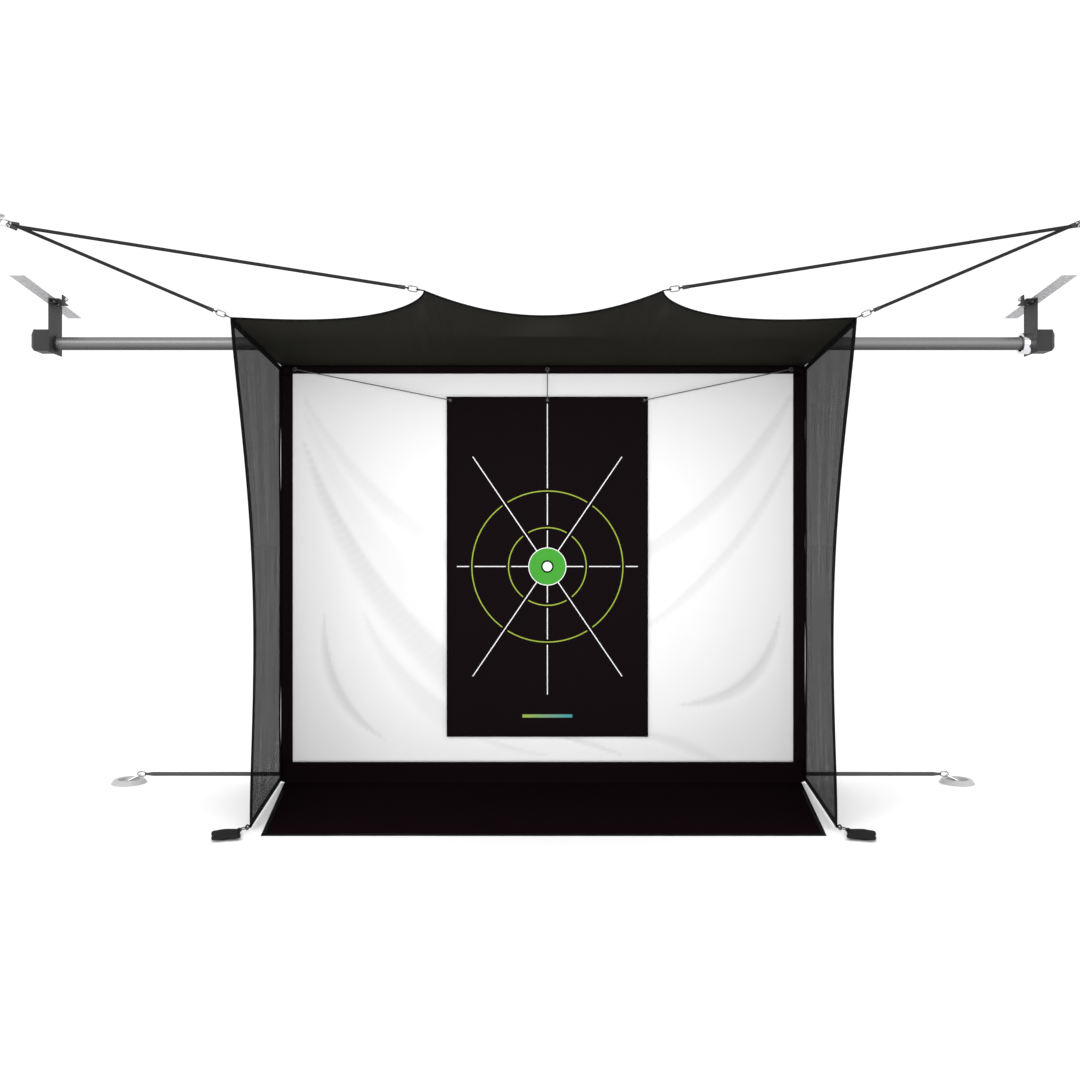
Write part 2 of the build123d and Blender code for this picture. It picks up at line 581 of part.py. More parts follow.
def ceiling_hook(side):
    """Ring, eye and round screw plate that hold two bungee cords, as two solids."""
    pull, bar, apex = ceiling_apex(side)
    hang = sided(side, CEILING)
    ring_plane = Plane((apex + hang) * 0.5, x_dir=pull, z_dir=pull.cross(bar))
    ring = ring_plane * Torus(CEILING_RING_R, CEILING_ROD_R)
    eye_r = CEILING_ROD_R * 2 + CEILING_EYE_PLAY
    eye_plane = Plane(hang + Vector(0, 0, eye_r - CEILING_ROD_R * 2 - GAP), x_dir=pull, z_dir=bar)
    eye = eye_plane * Torus(eye_r, CEILING_ROD_R)
    top = ceiling_top(side)
    plate_low = top - Vector(0, 0, CEILING_PLATE_THICK)
    stem = rod(eye_plane.origin + Vector(0, 0, eye_r), plate_low + Vector(0, 0, 1), CEILING_STEM_R)
    plate = rod(plate_low, top, CEILING_PLATE_R)
    for turn in range(3):
        angle = math.radians(120 * turn + 90)
        spot = plate_low + Vector(PLATE_SCREW_OFF * math.cos(angle), PLATE_SCREW_OFF * math.sin(angle), -1)
        plate -= rod(spot, spot + Vector(0, 0, CUT), PLATE_SCREW_R)
    return Compound([ring, eye + stem + plate])


# ---- floor anchors, straps and bags ---------------------------------------------
def anchor_pan(side):
    """Round pan screwed to the floor, with a recess, a saddle for the ring and four holes."""
    rim = Polyline((0, 0), (PAN_R, 0), (PAN_R, PAN_EDGE), (PAN_R - PAN_SLOPE, PAN_HIGH),
                   (RECESS_TOP_R, PAN_HIGH), (RECESS_R, PAN_FLOOR), (0, PAN_FLOOR), close=True)
    pan = revolve(make_face(Plane.XZ * rim), Axis.Z)
    pivot = Pos(0, 0, RING_PIVOT_Z) * Rot(90, 0, 0)
    saddle = Pos(0, 0, PAN_FLOOR - 1 + SADDLE[2] / 2) * Box(*SADDLE)
    saddle += pivot * Cylinder(SADDLE[0] / 2, SADDLE[1])
    pan += saddle - pivot * Cylinder(RING_ROD_R + RUN_CLEAR, CUT)
    for turn in range(4):
        spot = Rot(0, 0, 90 * turn + 45) * Pos(SCREW_CIRCLE_R, 0, 0)
        pan -= spot * Cylinder(PAN_SCREW_R, CUT)
    return Pos(sided(side, (ANCHOR_X, 0, 0))) * pan


def anchor_ring(side):
    """Bent rod ring that swings in the saddle: pivot bar, two sides and a short tip."""
    lean = ring_lean()
    pivot = sided(side, (ANCHOR_X, 0, RING_PIVOT_Z))
    tip = pivot + Vector(-side * math.cos(lean), 0, math.sin(lean)) * RING_REACH
    wide, narrow = Vector(0, RING_WIDE, 0), Vector(0, RING_NARROW, 0)
    corners = [pivot - wide, pivot + wide, tip + narrow, tip - narrow]
    path = FilletPolyline(*corners, radius=RING_BEND_R, close=True)
    section = Plane(path @ 0, z_dir=path % 0) * Circle(RING_ROD_R)
    return sweep(section, path=path)


def floor_strap(side):
    """Flat webbing from the net's back corner to its link, with a loop on the link's end bar."""
    bar = floor_link_plane(side).origin + Vector(side * LINK_START, 0, 0)
    band_end = abs(bar.X) - (STRAP_LOOP_R + STRAP_LOOP_BORE_R) / 2
    band = x_block(side, NET_HALF + CLOTH + GAP + STRAP_START, band_end, -STRAP_THICK / 2, STRAP_THICK / 2,
                   STRAP_Z - STRAP_HALF, STRAP_Z + STRAP_HALF)
    return band + Pos(bar) * (Cylinder(STRAP_LOOP_R, LOOP_WIDE) - Cylinder(STRAP_LOOP_BORE_R, CUT))


def weight_bag(side):
    """Square pillow lying on the floor, corner first, with a loop on the ring's far bar."""
    plane = low_link_plane(side)
    way = plane.x_dir
    bar = plane.origin + way * LINK_END
    centre = bar + way * (BAG_HALF * math.sqrt(2) + BAG_LOOP_OFF)
    base = Plane(Vector(centre.X, centre.Y, 0), x_dir=way, z_dir=(0, 0, 1))
    sections = []
    for rise, wide in BAG_LAYERS:
        spot = base * Pos(0, 0, BAG_HIGH * rise) * Rot(0, 0, 45)
        sections.append(spot * Rectangle(BAG_HALF * wide, BAG_HALF * wide))
    pillow = loft(sections, ruled=True)
    loop_plane = Plane(bar, x_dir=way, z_dir=plane.y_dir)
    loop = Cylinder(BAG_LOOP_R, LOOP_WIDE) + Pos(BAG_LOOP_R + 1, 0, 0) * Box(*BAG_NECK)
    return pillow + loop_plane * (loop - Cylinder(BAG_LOOP_BORE_R, CUT))


# ---- target ---------------------------------------------------------------------
def target_spots():
    """Button and eyelet centres of the three target cords."""
    edge = TARGET_HALF - EYE_IN
    pairs = {
        "left": (-HOOK_X, TARGET_X - edge),
        "centre": (TARGET_X, TARGET_X),
        "right": (HOOK_X, TARGET_X + edge),
    }
    spots = {}
    for name, (hook_x, eye_x) in pairs.items():
        spots[name] = (at(hook_x, HOOK_Y, HOOK_Z), at(eye_x, TARGET_Y, TARGET_HIGH - EYE_IN))
    return spots


def target_sheet():
    sheet = block((TARGET_X - TARGET_HALF, TARGET_Y, TARGET_LOW),
                  (TARGET_X + TARGET_HALF, TARGET_Y + CLOTH, TARGET_HIGH))
    for _, eye in target_spots().values():
        sheet -= rod(eye - Vector(0, CUT, 0), eye + Vector(0, CUT, 0), TARGET_EYE_RIM_R + GAP)
    return sheet


def target_eyelets():
    rings = []
    for _, eye in target_spots().values():
        rings.append(Pos(eye + Vector(0, CLOTH / 2, 0)) * eyelet(TARGET_EYE_R, TARGET_EYE_RIM_R, CLOTH + 1))
    return Compound(rings)


def target_buttons():
    """Buttons on the border's front, each a stem and a head."""
    buttons = []
    for hook, _ in target_spots().values():
        front = Vector(hook.X, SCREEN_Y - GAP / 4, hook.Z)
        neck = front - Vector(0, BUTTON_STEM_LONG, 0)
        head = rod(neck, neck - Vector(0, BUTTON_HIGH, 0), BUTTON_R)
        buttons.append(rod(front, neck, BUTTON_STEM_R) + head)
    return Compound(buttons)


def target_cord(name):
    """Cord from the loop on its button to the knot on the target's eyelet."""
    hook, eye = target_spots()[name]
    knot = eye - Vector(0, KNOT_R + 2 * GAP + 0.1, 0)
    loop = Plane(hook, z_dir=(0, 1, 0)) * Torus(LOOP_R, LOOP_WIRE_R)
    start = towards(hook, knot, LOOP_R)
    return loop + rod(start, knot, TARGET_CORD_R) + Pos(knot) * Sphere(KNOT_R)


# ---- all the nodes ----------------------------------------------------------------
def cloth_nodes():
    wide = NET_HALF - GAP
    return {
        "cloth_wrap": tube_x(-NET_HALF, NET_HALF, WRAP_R, TUBE_R + GAP / 4),
        "leader_cloth": block((-NET_HALF, CLOTH + GAP, SEAM_Z - LEADER_LAP),
                              (NET_HALF, 2 * CLOTH + GAP, ROLLER_Z)),
        "screen_panel": block((-SCREEN_HALF, 0, SCREEN_LOW), (SCREEN_HALF, CLOTH, SCREEN_HIGH)),
        "screen_border": screen_border(),
        "screen_foot": block((-wide, 0, BORDER_LOW), (wide, CLOTH, SCREEN_LOW - GAP)),
        "top_net": top_net(),
        "floor_skirt": floor_skirt(),
    }


def roller_nodes():
    collar_end = PLATE_X - GAP / 4
    fasteners = [piece for side in SIDES.values() for piece in bracket_fasteners(side)]
    return {
        "roller_tube": tube_x(-TUBE_HALF, TUBE_HALF, TUBE_R, TUBE_R - TUBE_WALL),
        "right_collar": tube_x(collar_end - COLLAR_LONG, collar_end, COLLAR_R, COLLAR_BORE),
        "bracket_fasteners": Compound(fasteners),
        "housing_screws": housing_screws(),
        "axle_bearings": Compound([axle_bearing(side) for side in SIDES.values()]),
    }


def target_nodes():
    cords = {f"target_cord_{name}": target_cord(name) for name in target_spots()}
    return {
        "target_sheet": target_sheet(),
        "target_eyelets": target_eyelets(),
        "target_buttons": target_buttons(),
        **cords,
    }


def link_nodes():
    """Tabs, eyelets, snap links, gates, bag rings and cord ends."""
    planes = link_planes()
    low_planes = [low_link_plane(side) for side in SIDES.values()]
    tab_planes = [plane for name, plane in planes.items() if "floor" not in name] + low_planes
    grommet = eyelet(TAB_HOLE_R, TAB_HOLE_R + EYE_RIM, CLOTH + 1)
    gates = {f"{name}_gate": plane * link_gate() for name, plane in planes.items()}
    return {
        "net_tabs": Compound([plane * tab() for plane in tab_planes]),
        "net_eyelets": Compound([plane * grommet for plane in tab_planes]),
        "snap_links": Compound([plane * link_body(closed=False) for plane in planes.values()]),
        "bag_rings": Compound([plane * link_body(closed=True) for plane in low_planes]),
        "cord_ends": cord_ends(),
        **gates,
    }


SIDE_PARTS = {
    "hanger_rail": hanger_rail,
    "bracket": bracket,
    "tube_plug": tube_plug,
    "bush": roller_bush,
    "end_housing": end_housing,
    "housing_cover": housing_cover,
    "side_net": side_net,
    "side_binding": side_binding,
    "ceiling_hook": ceiling_hook,
    "floor_strap": floor_strap,
    "anchor_pan": anchor_pan,
    "anchor_ring": anchor_ring,
    "weight_bag": weight_bag,
}


def side_nodes(label, side):
    """What each side has one of, and its two bungee cords."""
    pieces = {f"{label}_{name}": make(side) for name, make in SIDE_PARTS.items()}
    cords = {f"{label}_{name}_cord": bungee(side, name) for name in ("corner", "peak")}
    return {**pieces, **cords}


def nodes():
    made = {**cloth_nodes(), **roller_nodes(), **target_nodes(), **link_nodes()}
    for label, side in SIDES.items():
        made.update(side_nodes(label, side))
    return made


os.makedirs("parts", exist_ok=True)
shapes = nodes()
for node, shape in shapes.items():
    export_step(shape, f"parts/{node}.step")
print(len(shapes), "nodes")
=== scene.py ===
"""Golf practice enclosure: cloth, netting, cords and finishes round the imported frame."""

import json
import math

import bmesh
import bpy
import numpy as np
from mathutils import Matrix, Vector, noise


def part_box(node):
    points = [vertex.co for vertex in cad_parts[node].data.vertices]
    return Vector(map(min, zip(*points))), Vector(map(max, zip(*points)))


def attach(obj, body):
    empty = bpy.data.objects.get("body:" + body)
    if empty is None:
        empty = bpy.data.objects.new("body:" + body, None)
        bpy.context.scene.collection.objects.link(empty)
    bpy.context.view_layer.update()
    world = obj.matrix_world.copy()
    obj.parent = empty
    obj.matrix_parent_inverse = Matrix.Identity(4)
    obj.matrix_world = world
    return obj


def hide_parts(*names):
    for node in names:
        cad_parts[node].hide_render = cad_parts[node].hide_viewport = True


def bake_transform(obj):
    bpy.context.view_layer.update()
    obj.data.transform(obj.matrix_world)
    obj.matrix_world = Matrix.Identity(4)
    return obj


bl_info = {
    "name": "Golf Practice Enclosure",
    "version": (1, 0, 0),
    "blender": (4, 5, 0),
    "location": "View3D > Sidebar > Golf Enclosure",
    "description": "Dresses a roll-up golf practice enclosure in cloth, netting and cords",
    "category": "Object",
}

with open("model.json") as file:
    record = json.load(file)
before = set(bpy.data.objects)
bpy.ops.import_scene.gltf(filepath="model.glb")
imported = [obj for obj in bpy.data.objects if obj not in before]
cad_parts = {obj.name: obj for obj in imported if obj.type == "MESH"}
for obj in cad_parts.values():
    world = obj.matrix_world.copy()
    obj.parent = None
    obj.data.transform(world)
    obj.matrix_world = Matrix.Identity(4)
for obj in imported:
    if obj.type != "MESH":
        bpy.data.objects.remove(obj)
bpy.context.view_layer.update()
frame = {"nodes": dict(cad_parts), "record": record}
LEFT, RIGHT = -1, 1
SIDES = {"left": LEFT, "right": RIGHT}

# ---- places, in metres, from the frame --------------------------------------
SCREEN_LOW, SCREEN_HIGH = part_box("screen_panel")
BORDER_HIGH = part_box("screen_border")[1]
FRONT = SCREEN_LOW.y                    # front face of the screen; depths are measured from it
NET_HALF = BORDER_HIGH.x
SEAM_Z = BORDER_HIGH.z
BIND_LOW, BIND_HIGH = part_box("right_side_binding")
SKIRT_LOW, SKIRT_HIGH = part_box("floor_skirt")
TARGET_LOW, TARGET_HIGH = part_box("target_sheet")

# net corners and edges, measured forward from the screen
TOP_CORNER = Vector((1.305, BIND_LOW.y - FRONT, BIND_HIGH.z))
LOW_CORNER = Vector((BIND_LOW.x, -0.880, BIND_LOW.z))
PEAK = Vector((0.484, -1.080, 2.226))
DIP = Vector((0, -0.950, 2.151))
SIDE_DIP = Vector((0, -0.848, 2.170))
SIDE_DIP_AT, SIDE_DIP_POWERS = 0.34, (0.57, 1.1)
SIDE_CUT, CUT_POWER = 0.186, 1.5
FRONT_TAPE, BACK_TAPE, TAPE = 0.046, 0.028, 0.024
SIDE_TALL = SEAM_Z - LOW_CORNER.z       # height of the side nets at the seam
SKIRT_FRONT_HALF = 1.167
EDGE_GAP = 0.0004                       # cloth stops this far inside the net's back seam


def at(x, y, z):
    """A point whose y is measured from the screen's front face."""
    return Vector((x, y + FRONT, z))


# ---- settings ------------------------------------------------------------------
def length_setting(name, description, default):
    return bpy.props.FloatProperty(name=name, description=description, default=default,
                                   unit="LENGTH", precision=4)


def colour_setting(name, description, default):
    return bpy.props.FloatVectorProperty(name=name, description=description, default=default, size=3,
                                         subtype="COLOR", min=0, max=1)


def power_setting(name, description, default):
    return bpy.props.FloatProperty(name=name, description=description, default=default, min=0)


class ClothSettings(bpy.types.PropertyGroup):
    """Sizes of the cloth, netting and stitching."""

    thickness: length_setting("Cloth thickness", "Thickness of the woven cloth", 0.0012)
    net_cell: length_setting("Net cell", "Distance between the netting's threads", 0.0024)
    weave_pitch: length_setting("Weave pitch", "Distance between the screen cloth's threads", 0.0016)
    tape_thickness: length_setting("Tape thickness", "Thickness of the binding tape", 0.0026)
    stitch_pitch: length_setting("Stitch pitch", "Distance from one stitch to the next", 0.009)
    stitch_length: length_setting("Stitch length", "Length of one stitch", 0.006)
    stitch_width: length_setting("Stitch width", "Thickness of the sewing thread", 0.0011)
    fold_depth: length_setting("Fold depth", "Depth of the screen's soft folds", 0.008)


class ColourSettings(bpy.types.PropertyGroup):
    """Colours of the cloths and finishes."""

    screen: colour_setting("Screen", "Impact screen cloth", (0.855, 0.855, 0.86))
    black: colour_setting("Black cloth", "Border, skirt and target cloth", (0.0065, 0.0035, 0.0045))
    top_net: colour_setting("Top net", "Thread of the top net", (0.022, 0.021, 0.016))
    side_net: colour_setting("Side nets", "Thread of the side nets", (0.012, 0.012, 0.013))
    tape: colour_setting("Binding", "Edge binding tape", (0.006, 0.006, 0.006))
    disc: colour_setting("Target disc", "Middle disc of the target", (0.060, 0.335, 0.038))
    rings: colour_setting("Target rings", "Rings of the target", (0.31, 0.42, 0.055))
    webbing: colour_setting("Webbing", "Floor strap webbing", (0.082, 0.082, 0.082))
    bag: colour_setting("Weight bag", "Weight bag cloth", (0.018, 0.018, 0.018))
    tube: colour_setting("Roller tube", "Anodised roller tube", (0.21, 0.21, 0.21))
    bracket: colour_setting("Bracket", "Painted brackets", (0.016, 0.016, 0.016))


class StageSettings(bpy.types.PropertyGroup):
    """Camera, floor and lights."""

    distance: length_setting("Camera distance", "From the camera to the screen", 5.43)
    height: length_setting("Camera height", "Height of the camera", 1.221)
    offset: length_setting("Camera offset", "Sideways place of the camera", -0.015)
    floor_size: length_setting("Floor size", "Side of the pale floor", 400.0)
    sky: power_setting("Sky", "Strength of the white surroundings", 1.12)
    key_light: power_setting("Key light", "Power of the light at the upper left, in watts", 80.0)
    fill_light: power_setting("Fill light", "Power of the light at the right, in watts", 25.0)
    front_light: power_setting("Front light", "Power of the broad light behind the camera, in watts", 190.0)
    top_light: power_setting("Top light", "Power of the light above, in watts", 60.0)


def settings():
    return bpy.context.scene.golf_enclosure


# ---- shader maths ----------------------------------------------------------------
class Wire:
    """An output of a material's node, so that patterns are written as arithmetic."""

    def __init__(self, finish, socket):
        self.finish, self.socket = finish, socket

    def maths(self, operation, *values):
        return self.finish.make("ShaderNodeMath", {"operation": operation}, *values)

    def __add__(self, other):
        return self.maths("ADD", self, other)

    def __sub__(self, other):
        return self.maths("SUBTRACT", self, other)

    def __rsub__(self, other):
        return self.maths("SUBTRACT", other, self)

    def __mul__(self, other):
        return self.maths("MULTIPLY", self, other)

    def __truediv__(self, other):
        return self.maths("DIVIDE", self, other)

    def __pow__(self, other):
        return self.maths("POWER", self, other)

    def __lt__(self, other):
        return self.maths("LESS_THAN", self, other)

    def __gt__(self, other):
        return self.maths("GREATER_THAN", self, other)

    def __abs__(self):
        return self.maths("ABSOLUTE", self)

    __radd__, __rmul__ = __add__, __mul__

    def sine(self):
        return self.maths("SINE", self)

    def fraction(self):
        return self.maths("FRACT", self)

    def either(self, other):
        return self.maths("MAXIMUM", self, other)

    def both(self, other):
        return self.maths("MINIMUM", self, other)


class Finish:
    """One material, built node by node."""

    def __init__(self, name):
        self.material = bpy.data.materials.new(name)
        self.material.use_nodes = True
        self.tree = self.material.node_tree
        self.tree.nodes.clear()

    def make(self, kind, given=None, *values, out=0, **named):
        """Adds a node: its settings first, then values or links for its inputs. Gives one output."""
        node = self.tree.nodes.new(kind)
        for key, value in (given or {}).items():
            if key == "stops":
                self.set_stops(node.color_ramp, value)
            else:
                setattr(node, key, value)
        for key, value in [*enumerate(values), *named.items()]:
            spot = node.inputs[key.replace("_", " ") if isinstance(key, str) else key]
            if isinstance(value, Wire):
                self.tree.links.new(value.socket, spot)
            elif value is not None:
                spot.default_value = value
        return Wire(self, node.outputs[out])

    @staticmethod
    def set_stops(ramp, stops):
        while len(ramp.elements) < len(stops):
            ramp.elements.new(1)
        for element, (place, colour) in zip(ramp.elements, stops):
            element.position, element.color = place, colour

    def place(self):
        """Object coordinates, in metres."""
        return self.make("ShaderNodeTexCoord", out="Object")

    def laid(self):
        """The piece's own UV map, in metres along and across the cloth."""
        return self.make("ShaderNodeUVMap", {"uv_map": "cloth"})

    def split(self, vector):
        node = self.make("ShaderNodeSeparateXYZ", None, vector)
        outputs = node.socket.node.outputs
        return [Wire(self, outputs[i]) for i in range(3)]

    def stored(self, name):
        return self.make("ShaderNodeAttribute", {"attribute_name": name}, out="Fac")

    def noise(self, vector, scale, detail=3.0, roughness=0.5):
        return self.make("ShaderNodeTexNoise", None, Vector=vector, Scale=scale, Detail=detail,
                         Roughness=roughness, out="Fac")

    def blend(self, share, first, second):
        """Colour between two colours."""
        return self.make("ShaderNodeMix", {"data_type": "RGBA"}, share, None, None, None, None, None,
                         first, second, out=2)

    def tone(self, colour, share, depth):
        """A colour made up to depth darker where share is 1."""
        return self.blend(share, (*colour, 1), (*[c * (1 - depth) for c in colour], 1))

    def bump(self, height, strength, distance):
        return self.make("ShaderNodeBump", None, Strength=strength, Distance=distance, Height=height)

    def surface(self, colour, roughness, normal=None, alpha=None, metallic=None, **constants):
        """Ends the material in a Principled surface. Constants are set on its own sockets."""
        shader = self.tree.nodes.new("ShaderNodeBsdfPrincipled")
        varying = {"Base Color": colour, "Roughness": roughness, "Normal": normal, "Alpha": alpha,
                   "Metallic": metallic}
        for key, value in varying.items():
            if isinstance(value, Wire):
                self.tree.links.new(value.socket, shader.inputs[key])
            elif value is not None:
                shader.inputs[key].default_value = value
        for key, value in constants.items():
            shader.inputs[key.replace("_", " ")].default_value = value
        end = self.tree.nodes.new("ShaderNodeOutputMaterial")
        self.tree.links.new(shader.outputs[0], end.inputs["Surface"])
        return self.material


# ---- materials --------------------------------------------------------------------
def threads(finish, pitch):
    """Height of a plain weave on the cloth's UV map, from 0 to 1."""
    along, across, _ = finish.split(finish.laid())
    turn = math.tau / pitch
    warp, weft = (along * turn).sine(), (across * turn).sine()
    return warp * weft * 0.5 + 0.5


def woven(name, colour, pitch, depth=0.25, relief=0.35, crease=0.0, gloss=0.03):
    """Plain woven cloth with slubs and soft wear, and, where a share is given, painted shade along its folds
    read from the mesh.
    """
    finish = Finish(name)
    height = threads(finish, pitch)
    cloud = finish.noise(finish.place(), 3.0, 4.0)
    slub = finish.noise(finish.place(), 160.0, 2.0)
    dark = height * 0.35 + cloud * 0.4 + slub * 0.25
    # painted shade along the folds, stored on the mesh, takes this share of the darkening
    if crease:
        dark = dark * (1 - crease) + finish.stored("crease") * crease
    base = finish.tone(colour, dark, depth)
    rough = 0.85 + (slub - 0.5) * 0.12
    normal = finish.bump(height + slub * 0.6, relief, pitch * 0.3)
    return finish.surface(base, rough, normal, Specular_IOR_Level=gloss)


def netting(name, colour, cell, cover):
    """Knitted netting: square cells with thread of the given cover, as alpha and relief."""
    finish = Finish(name)
    along, across, _ = finish.split(finish.laid())
    half = 0.5 * (1 - math.sqrt(1 - cover))
    lines = []
    for spread in (along, across):
        lines.append(abs((spread / cell).fraction() - 0.5) > (0.5 - half))
    thread = lines[0].either(lines[1])
    alpha = thread * 0.4 + cover * 0.6
    slub = finish.noise(finish.place(), 120.0, 2.0)
    cloud = finish.noise(finish.place(), 2.5, 3.0)
    base = finish.tone(colour, cloud * 0.6 + slub * 0.4, 0.35)
    normal = finish.bump(thread + slub * 0.5, 0.3, cell * 0.1)
    return finish.surface(base, 0.8 + slub * 0.1, normal, alpha, Specular_IOR_Level=0.03)


def ribbed(name, colour, rib):
    """Woven tape or webbing with fine ribs across and a fine diagonal."""
    finish = Finish(name)
    along, across, _ = finish.split(finish.laid())
    wave = (along * (math.tau / rib)).sine()
    chevron = ((along + across) * (math.tau / rib / 2)).sine()
    slub = finish.noise(finish.place(), 200.0, 2.0)
    height = wave * 0.3 + chevron * 0.2 + slub * 0.4
    base = finish.tone(colour, height + 0.3, 0.3)
    normal = finish.bump(height, 0.5, rib * 0.2)
    return finish.surface(base, 0.8 + slub * 0.1, normal, Specular_IOR_Level=0.06)


def braided(name, colour, pitch):
    """Braided cord: two crossing sets of strands round it."""
    finish = Finish(name)
    along, around, _ = finish.split(finish.laid())
    strands = [(along * (math.tau / pitch) + around * (way * math.tau * 4)).sine() for way in (1, -1)]
    height = strands[0] * strands[1]
    fuzz = finish.noise(finish.place(), 400.0, 2.0)
    base = finish.tone(colour, height * 0.5 + fuzz * 0.5, 0.45)
    normal = finish.bump(height + fuzz * 0.3, 0.6, pitch * 0.08)
    return finish.surface(base, 0.7 + fuzz * 0.15, normal, Specular_IOR_Level=0.3)


def bare_metal(name, colour, roughness, spread=0.08):
    """Plated or plain metal with a fine grain and smudges."""
    finish = Finish(name)
    spot = finish.place()
    smudge = finish.noise(spot, 18.0, 4.0, 0.6)
    fine = finish.noise(spot, 240.0, 2.0)
    base = finish.tone(colour, smudge * 0.7 + fine * 0.3, 0.2)
    rough = roughness + (smudge - 0.5) * spread + (fine - 0.5) * spread
    return finish.surface(base, rough, finish.bump(fine, 0.08, 0.0004), metallic=1.0)


def galvanised(name, colour, line_pitch=0.006):
    """Zinc-coated strip: crystal spangle and fine rolled lines across it."""
    finish = Finish(name)
    spot = finish.place()
    cells = finish.make("ShaderNodeTexVoronoi", {"feature": "F1"}, Vector=spot, Scale=140.0, out="Color")
    grain, _, _ = finish.split(cells)
    _, along, _ = finish.split(spot)
    lines = (along * (math.tau / line_pitch)).sine()
    streak = finish.noise(spot, 30.0, 4.0)
    base = finish.tone(colour, grain * 0.5 + streak * 0.3 + (lines > 0.55) * 0.35, 0.35)
    rough = 0.42 + grain * 0.15
    return finish.surface(base, rough, finish.bump(grain + lines * 0.3, 0.12, 0.0004), metallic=0.55)


def powder_coat(name, colour, roughness=0.5, wear=0.3):
    """Painted steel with orange-peel texture and cloudy dust."""
    finish = Finish(name)
    spot = finish.place()
    peel = finish.noise(spot, 320.0, 2.0)
    cloud = finish.noise(spot, 9.0, 5.0, 0.6)
    base = finish.tone(colour, cloud, wear)
    rough = roughness + (cloud - 0.5) * 0.2
    return finish.surface(base, rough, finish.bump(peel, 0.15, 0.0006), Specular_IOR_Level=0.3)


def moulded(name, colour):
    """Moulded plastic with a spark-eroded texture."""
    finish = Finish(name)
    spot = finish.place()
    texture = finish.noise(spot, 700.0, 2.0)
    cloud = finish.noise(spot, 14.0, 3.0)
    base = finish.tone(colour, cloud * 0.7 + texture * 0.3, 0.3)
    return finish.surface(base, 0.55 + (cloud - 0.5) * 0.15, finish.bump(texture, 0.2, 0.0003))


def anodised(name, colour):
    """Drawn tube: fine lines along X under a satin finish, with painted shade that darkens it towards its top
    and bottom.
    """
    finish = Finish(name)
    spot = finish.place()
    across, deep, tall = finish.split(spot)
    drawn = finish.make("ShaderNodeCombineXYZ", None, across * 0.6, deep * 260.0, tall * 260.0)
    lines = finish.noise(drawn, 4.0, 3.0)
    smudge = finish.noise(spot, 6.0, 4.0)
    # painted shade: the colour darkens towards the top and the bottom of the tube, lightest just above its
    # axis, and turns with it
    under = abs((tall - ROLLER_Z) / TUBE_R - 0.15)
    base = finish.tone(colour, lines * 0.1 + smudge * 0.1 + (under ** 1.5) * 0.8, 0.85)
    rough = 0.36 + (smudge - 0.5) * 0.12
    return finish.surface(base, rough, finish.bump(lines, 0.08, 0.0003), metallic=0.55)


class TargetPrint:
    """The target's printed pattern, in metres from its middle."""

    dot, dot_edge, disc, disc_edge = 0.0235, 0.0315, 0.0915, 0.0955
    rings, ring_width = (0.195, 0.379), 0.0055
    line_width, ring_gap, cross_gap = 0.0048, 0.028, 0.032
    vertical_reach, side_reach, diagonal_reach = (0.642, 0.817), 0.454, 0.666
    diagonal = math.radians(55.8)
    bar_half, bar_thick, bar_drop = 0.125, 0.016, 0.750

    @classmethod
    def middle(cls):
        return Vector(((TARGET_LOW.x + TARGET_HIGH.x) / 2, 0, 1.088))


def target_finish(name, black):
    """Black cloth with the printed disc, rings and sight lines."""
    colours = settings().colours
    shape = TargetPrint
    finish = Finish(name)
    across, _, tall = finish.split(finish.place())
    x, z = across - shape.middle().x, tall - shape.middle().z
    radius = (x * x + z * z) ** 0.5
    height = threads(finish, settings().cloth.weave_pitch)
    slub = finish.noise(finish.place(), 160.0, 2.0)

    gaps = (abs(radius - shape.rings[0]) > shape.ring_gap / 2).both(
        abs(radius - shape.rings[1]) > shape.ring_gap / 2)
    clear = radius > shape.disc_edge
    upright = (abs(x) < shape.line_width / 2).both(z < shape.vertical_reach[1]).both(
        z > -shape.vertical_reach[0]).both(gaps)
    level = (abs(z) < shape.line_width / 2).both(abs(x) < shape.side_reach).both(gaps)
    lean = (math.cos(shape.diagonal), math.sin(shape.diagonal))
    off_line = abs(abs(x) * lean[1] - abs(z) * lean[0])
    slanted = (off_line < shape.line_width / 2).both(radius < shape.diagonal_reach)
    white = upright.either(level).either(slanted).both(clear)
    white = white.either(radius < shape.dot)
    white = white.either((radius > shape.disc).both(radius < shape.disc_edge))
    ringed = None
    for ring in shape.rings:
        band = abs(radius - ring) < shape.ring_width / 2
        ringed = band if ringed is None else ringed.either(band)
    ringed = ringed.both(off_line > shape.cross_gap / 2)
    green = (radius < shape.disc).both(radius > shape.dot_edge)
    bar = (abs(z + shape.bar_drop) < shape.bar_thick / 2).both(abs(x) < shape.bar_half)
    fade = finish.make("ShaderNodeMapRange", None, x, -shape.bar_half, shape.bar_half, 0.0, 1.0)

    base = finish.tone(black, height * 0.5 + slub * 0.5, 0.3)
    base = finish.blend(ringed, base, (*colours.rings, 1))
    base = finish.blend(green, base, (*colours.disc, 1))
    base = finish.blend(white, base, (0.86, 0.86, 0.86, 1))
    bar_colour = finish.blend(fade, (*colours.rings, 1), (0.05, 0.30, 0.36, 1))
    base = finish.blend(bar, base, bar_colour)
    ink = white.either(green).either(ringed).either(bar)
    rough = 0.85 - ink * 0.3
    normal = finish.bump(height + slub * 0.5, 0.3, 0.0004)
    return finish.surface(base, rough, normal, Specular_IOR_Level=0.04)


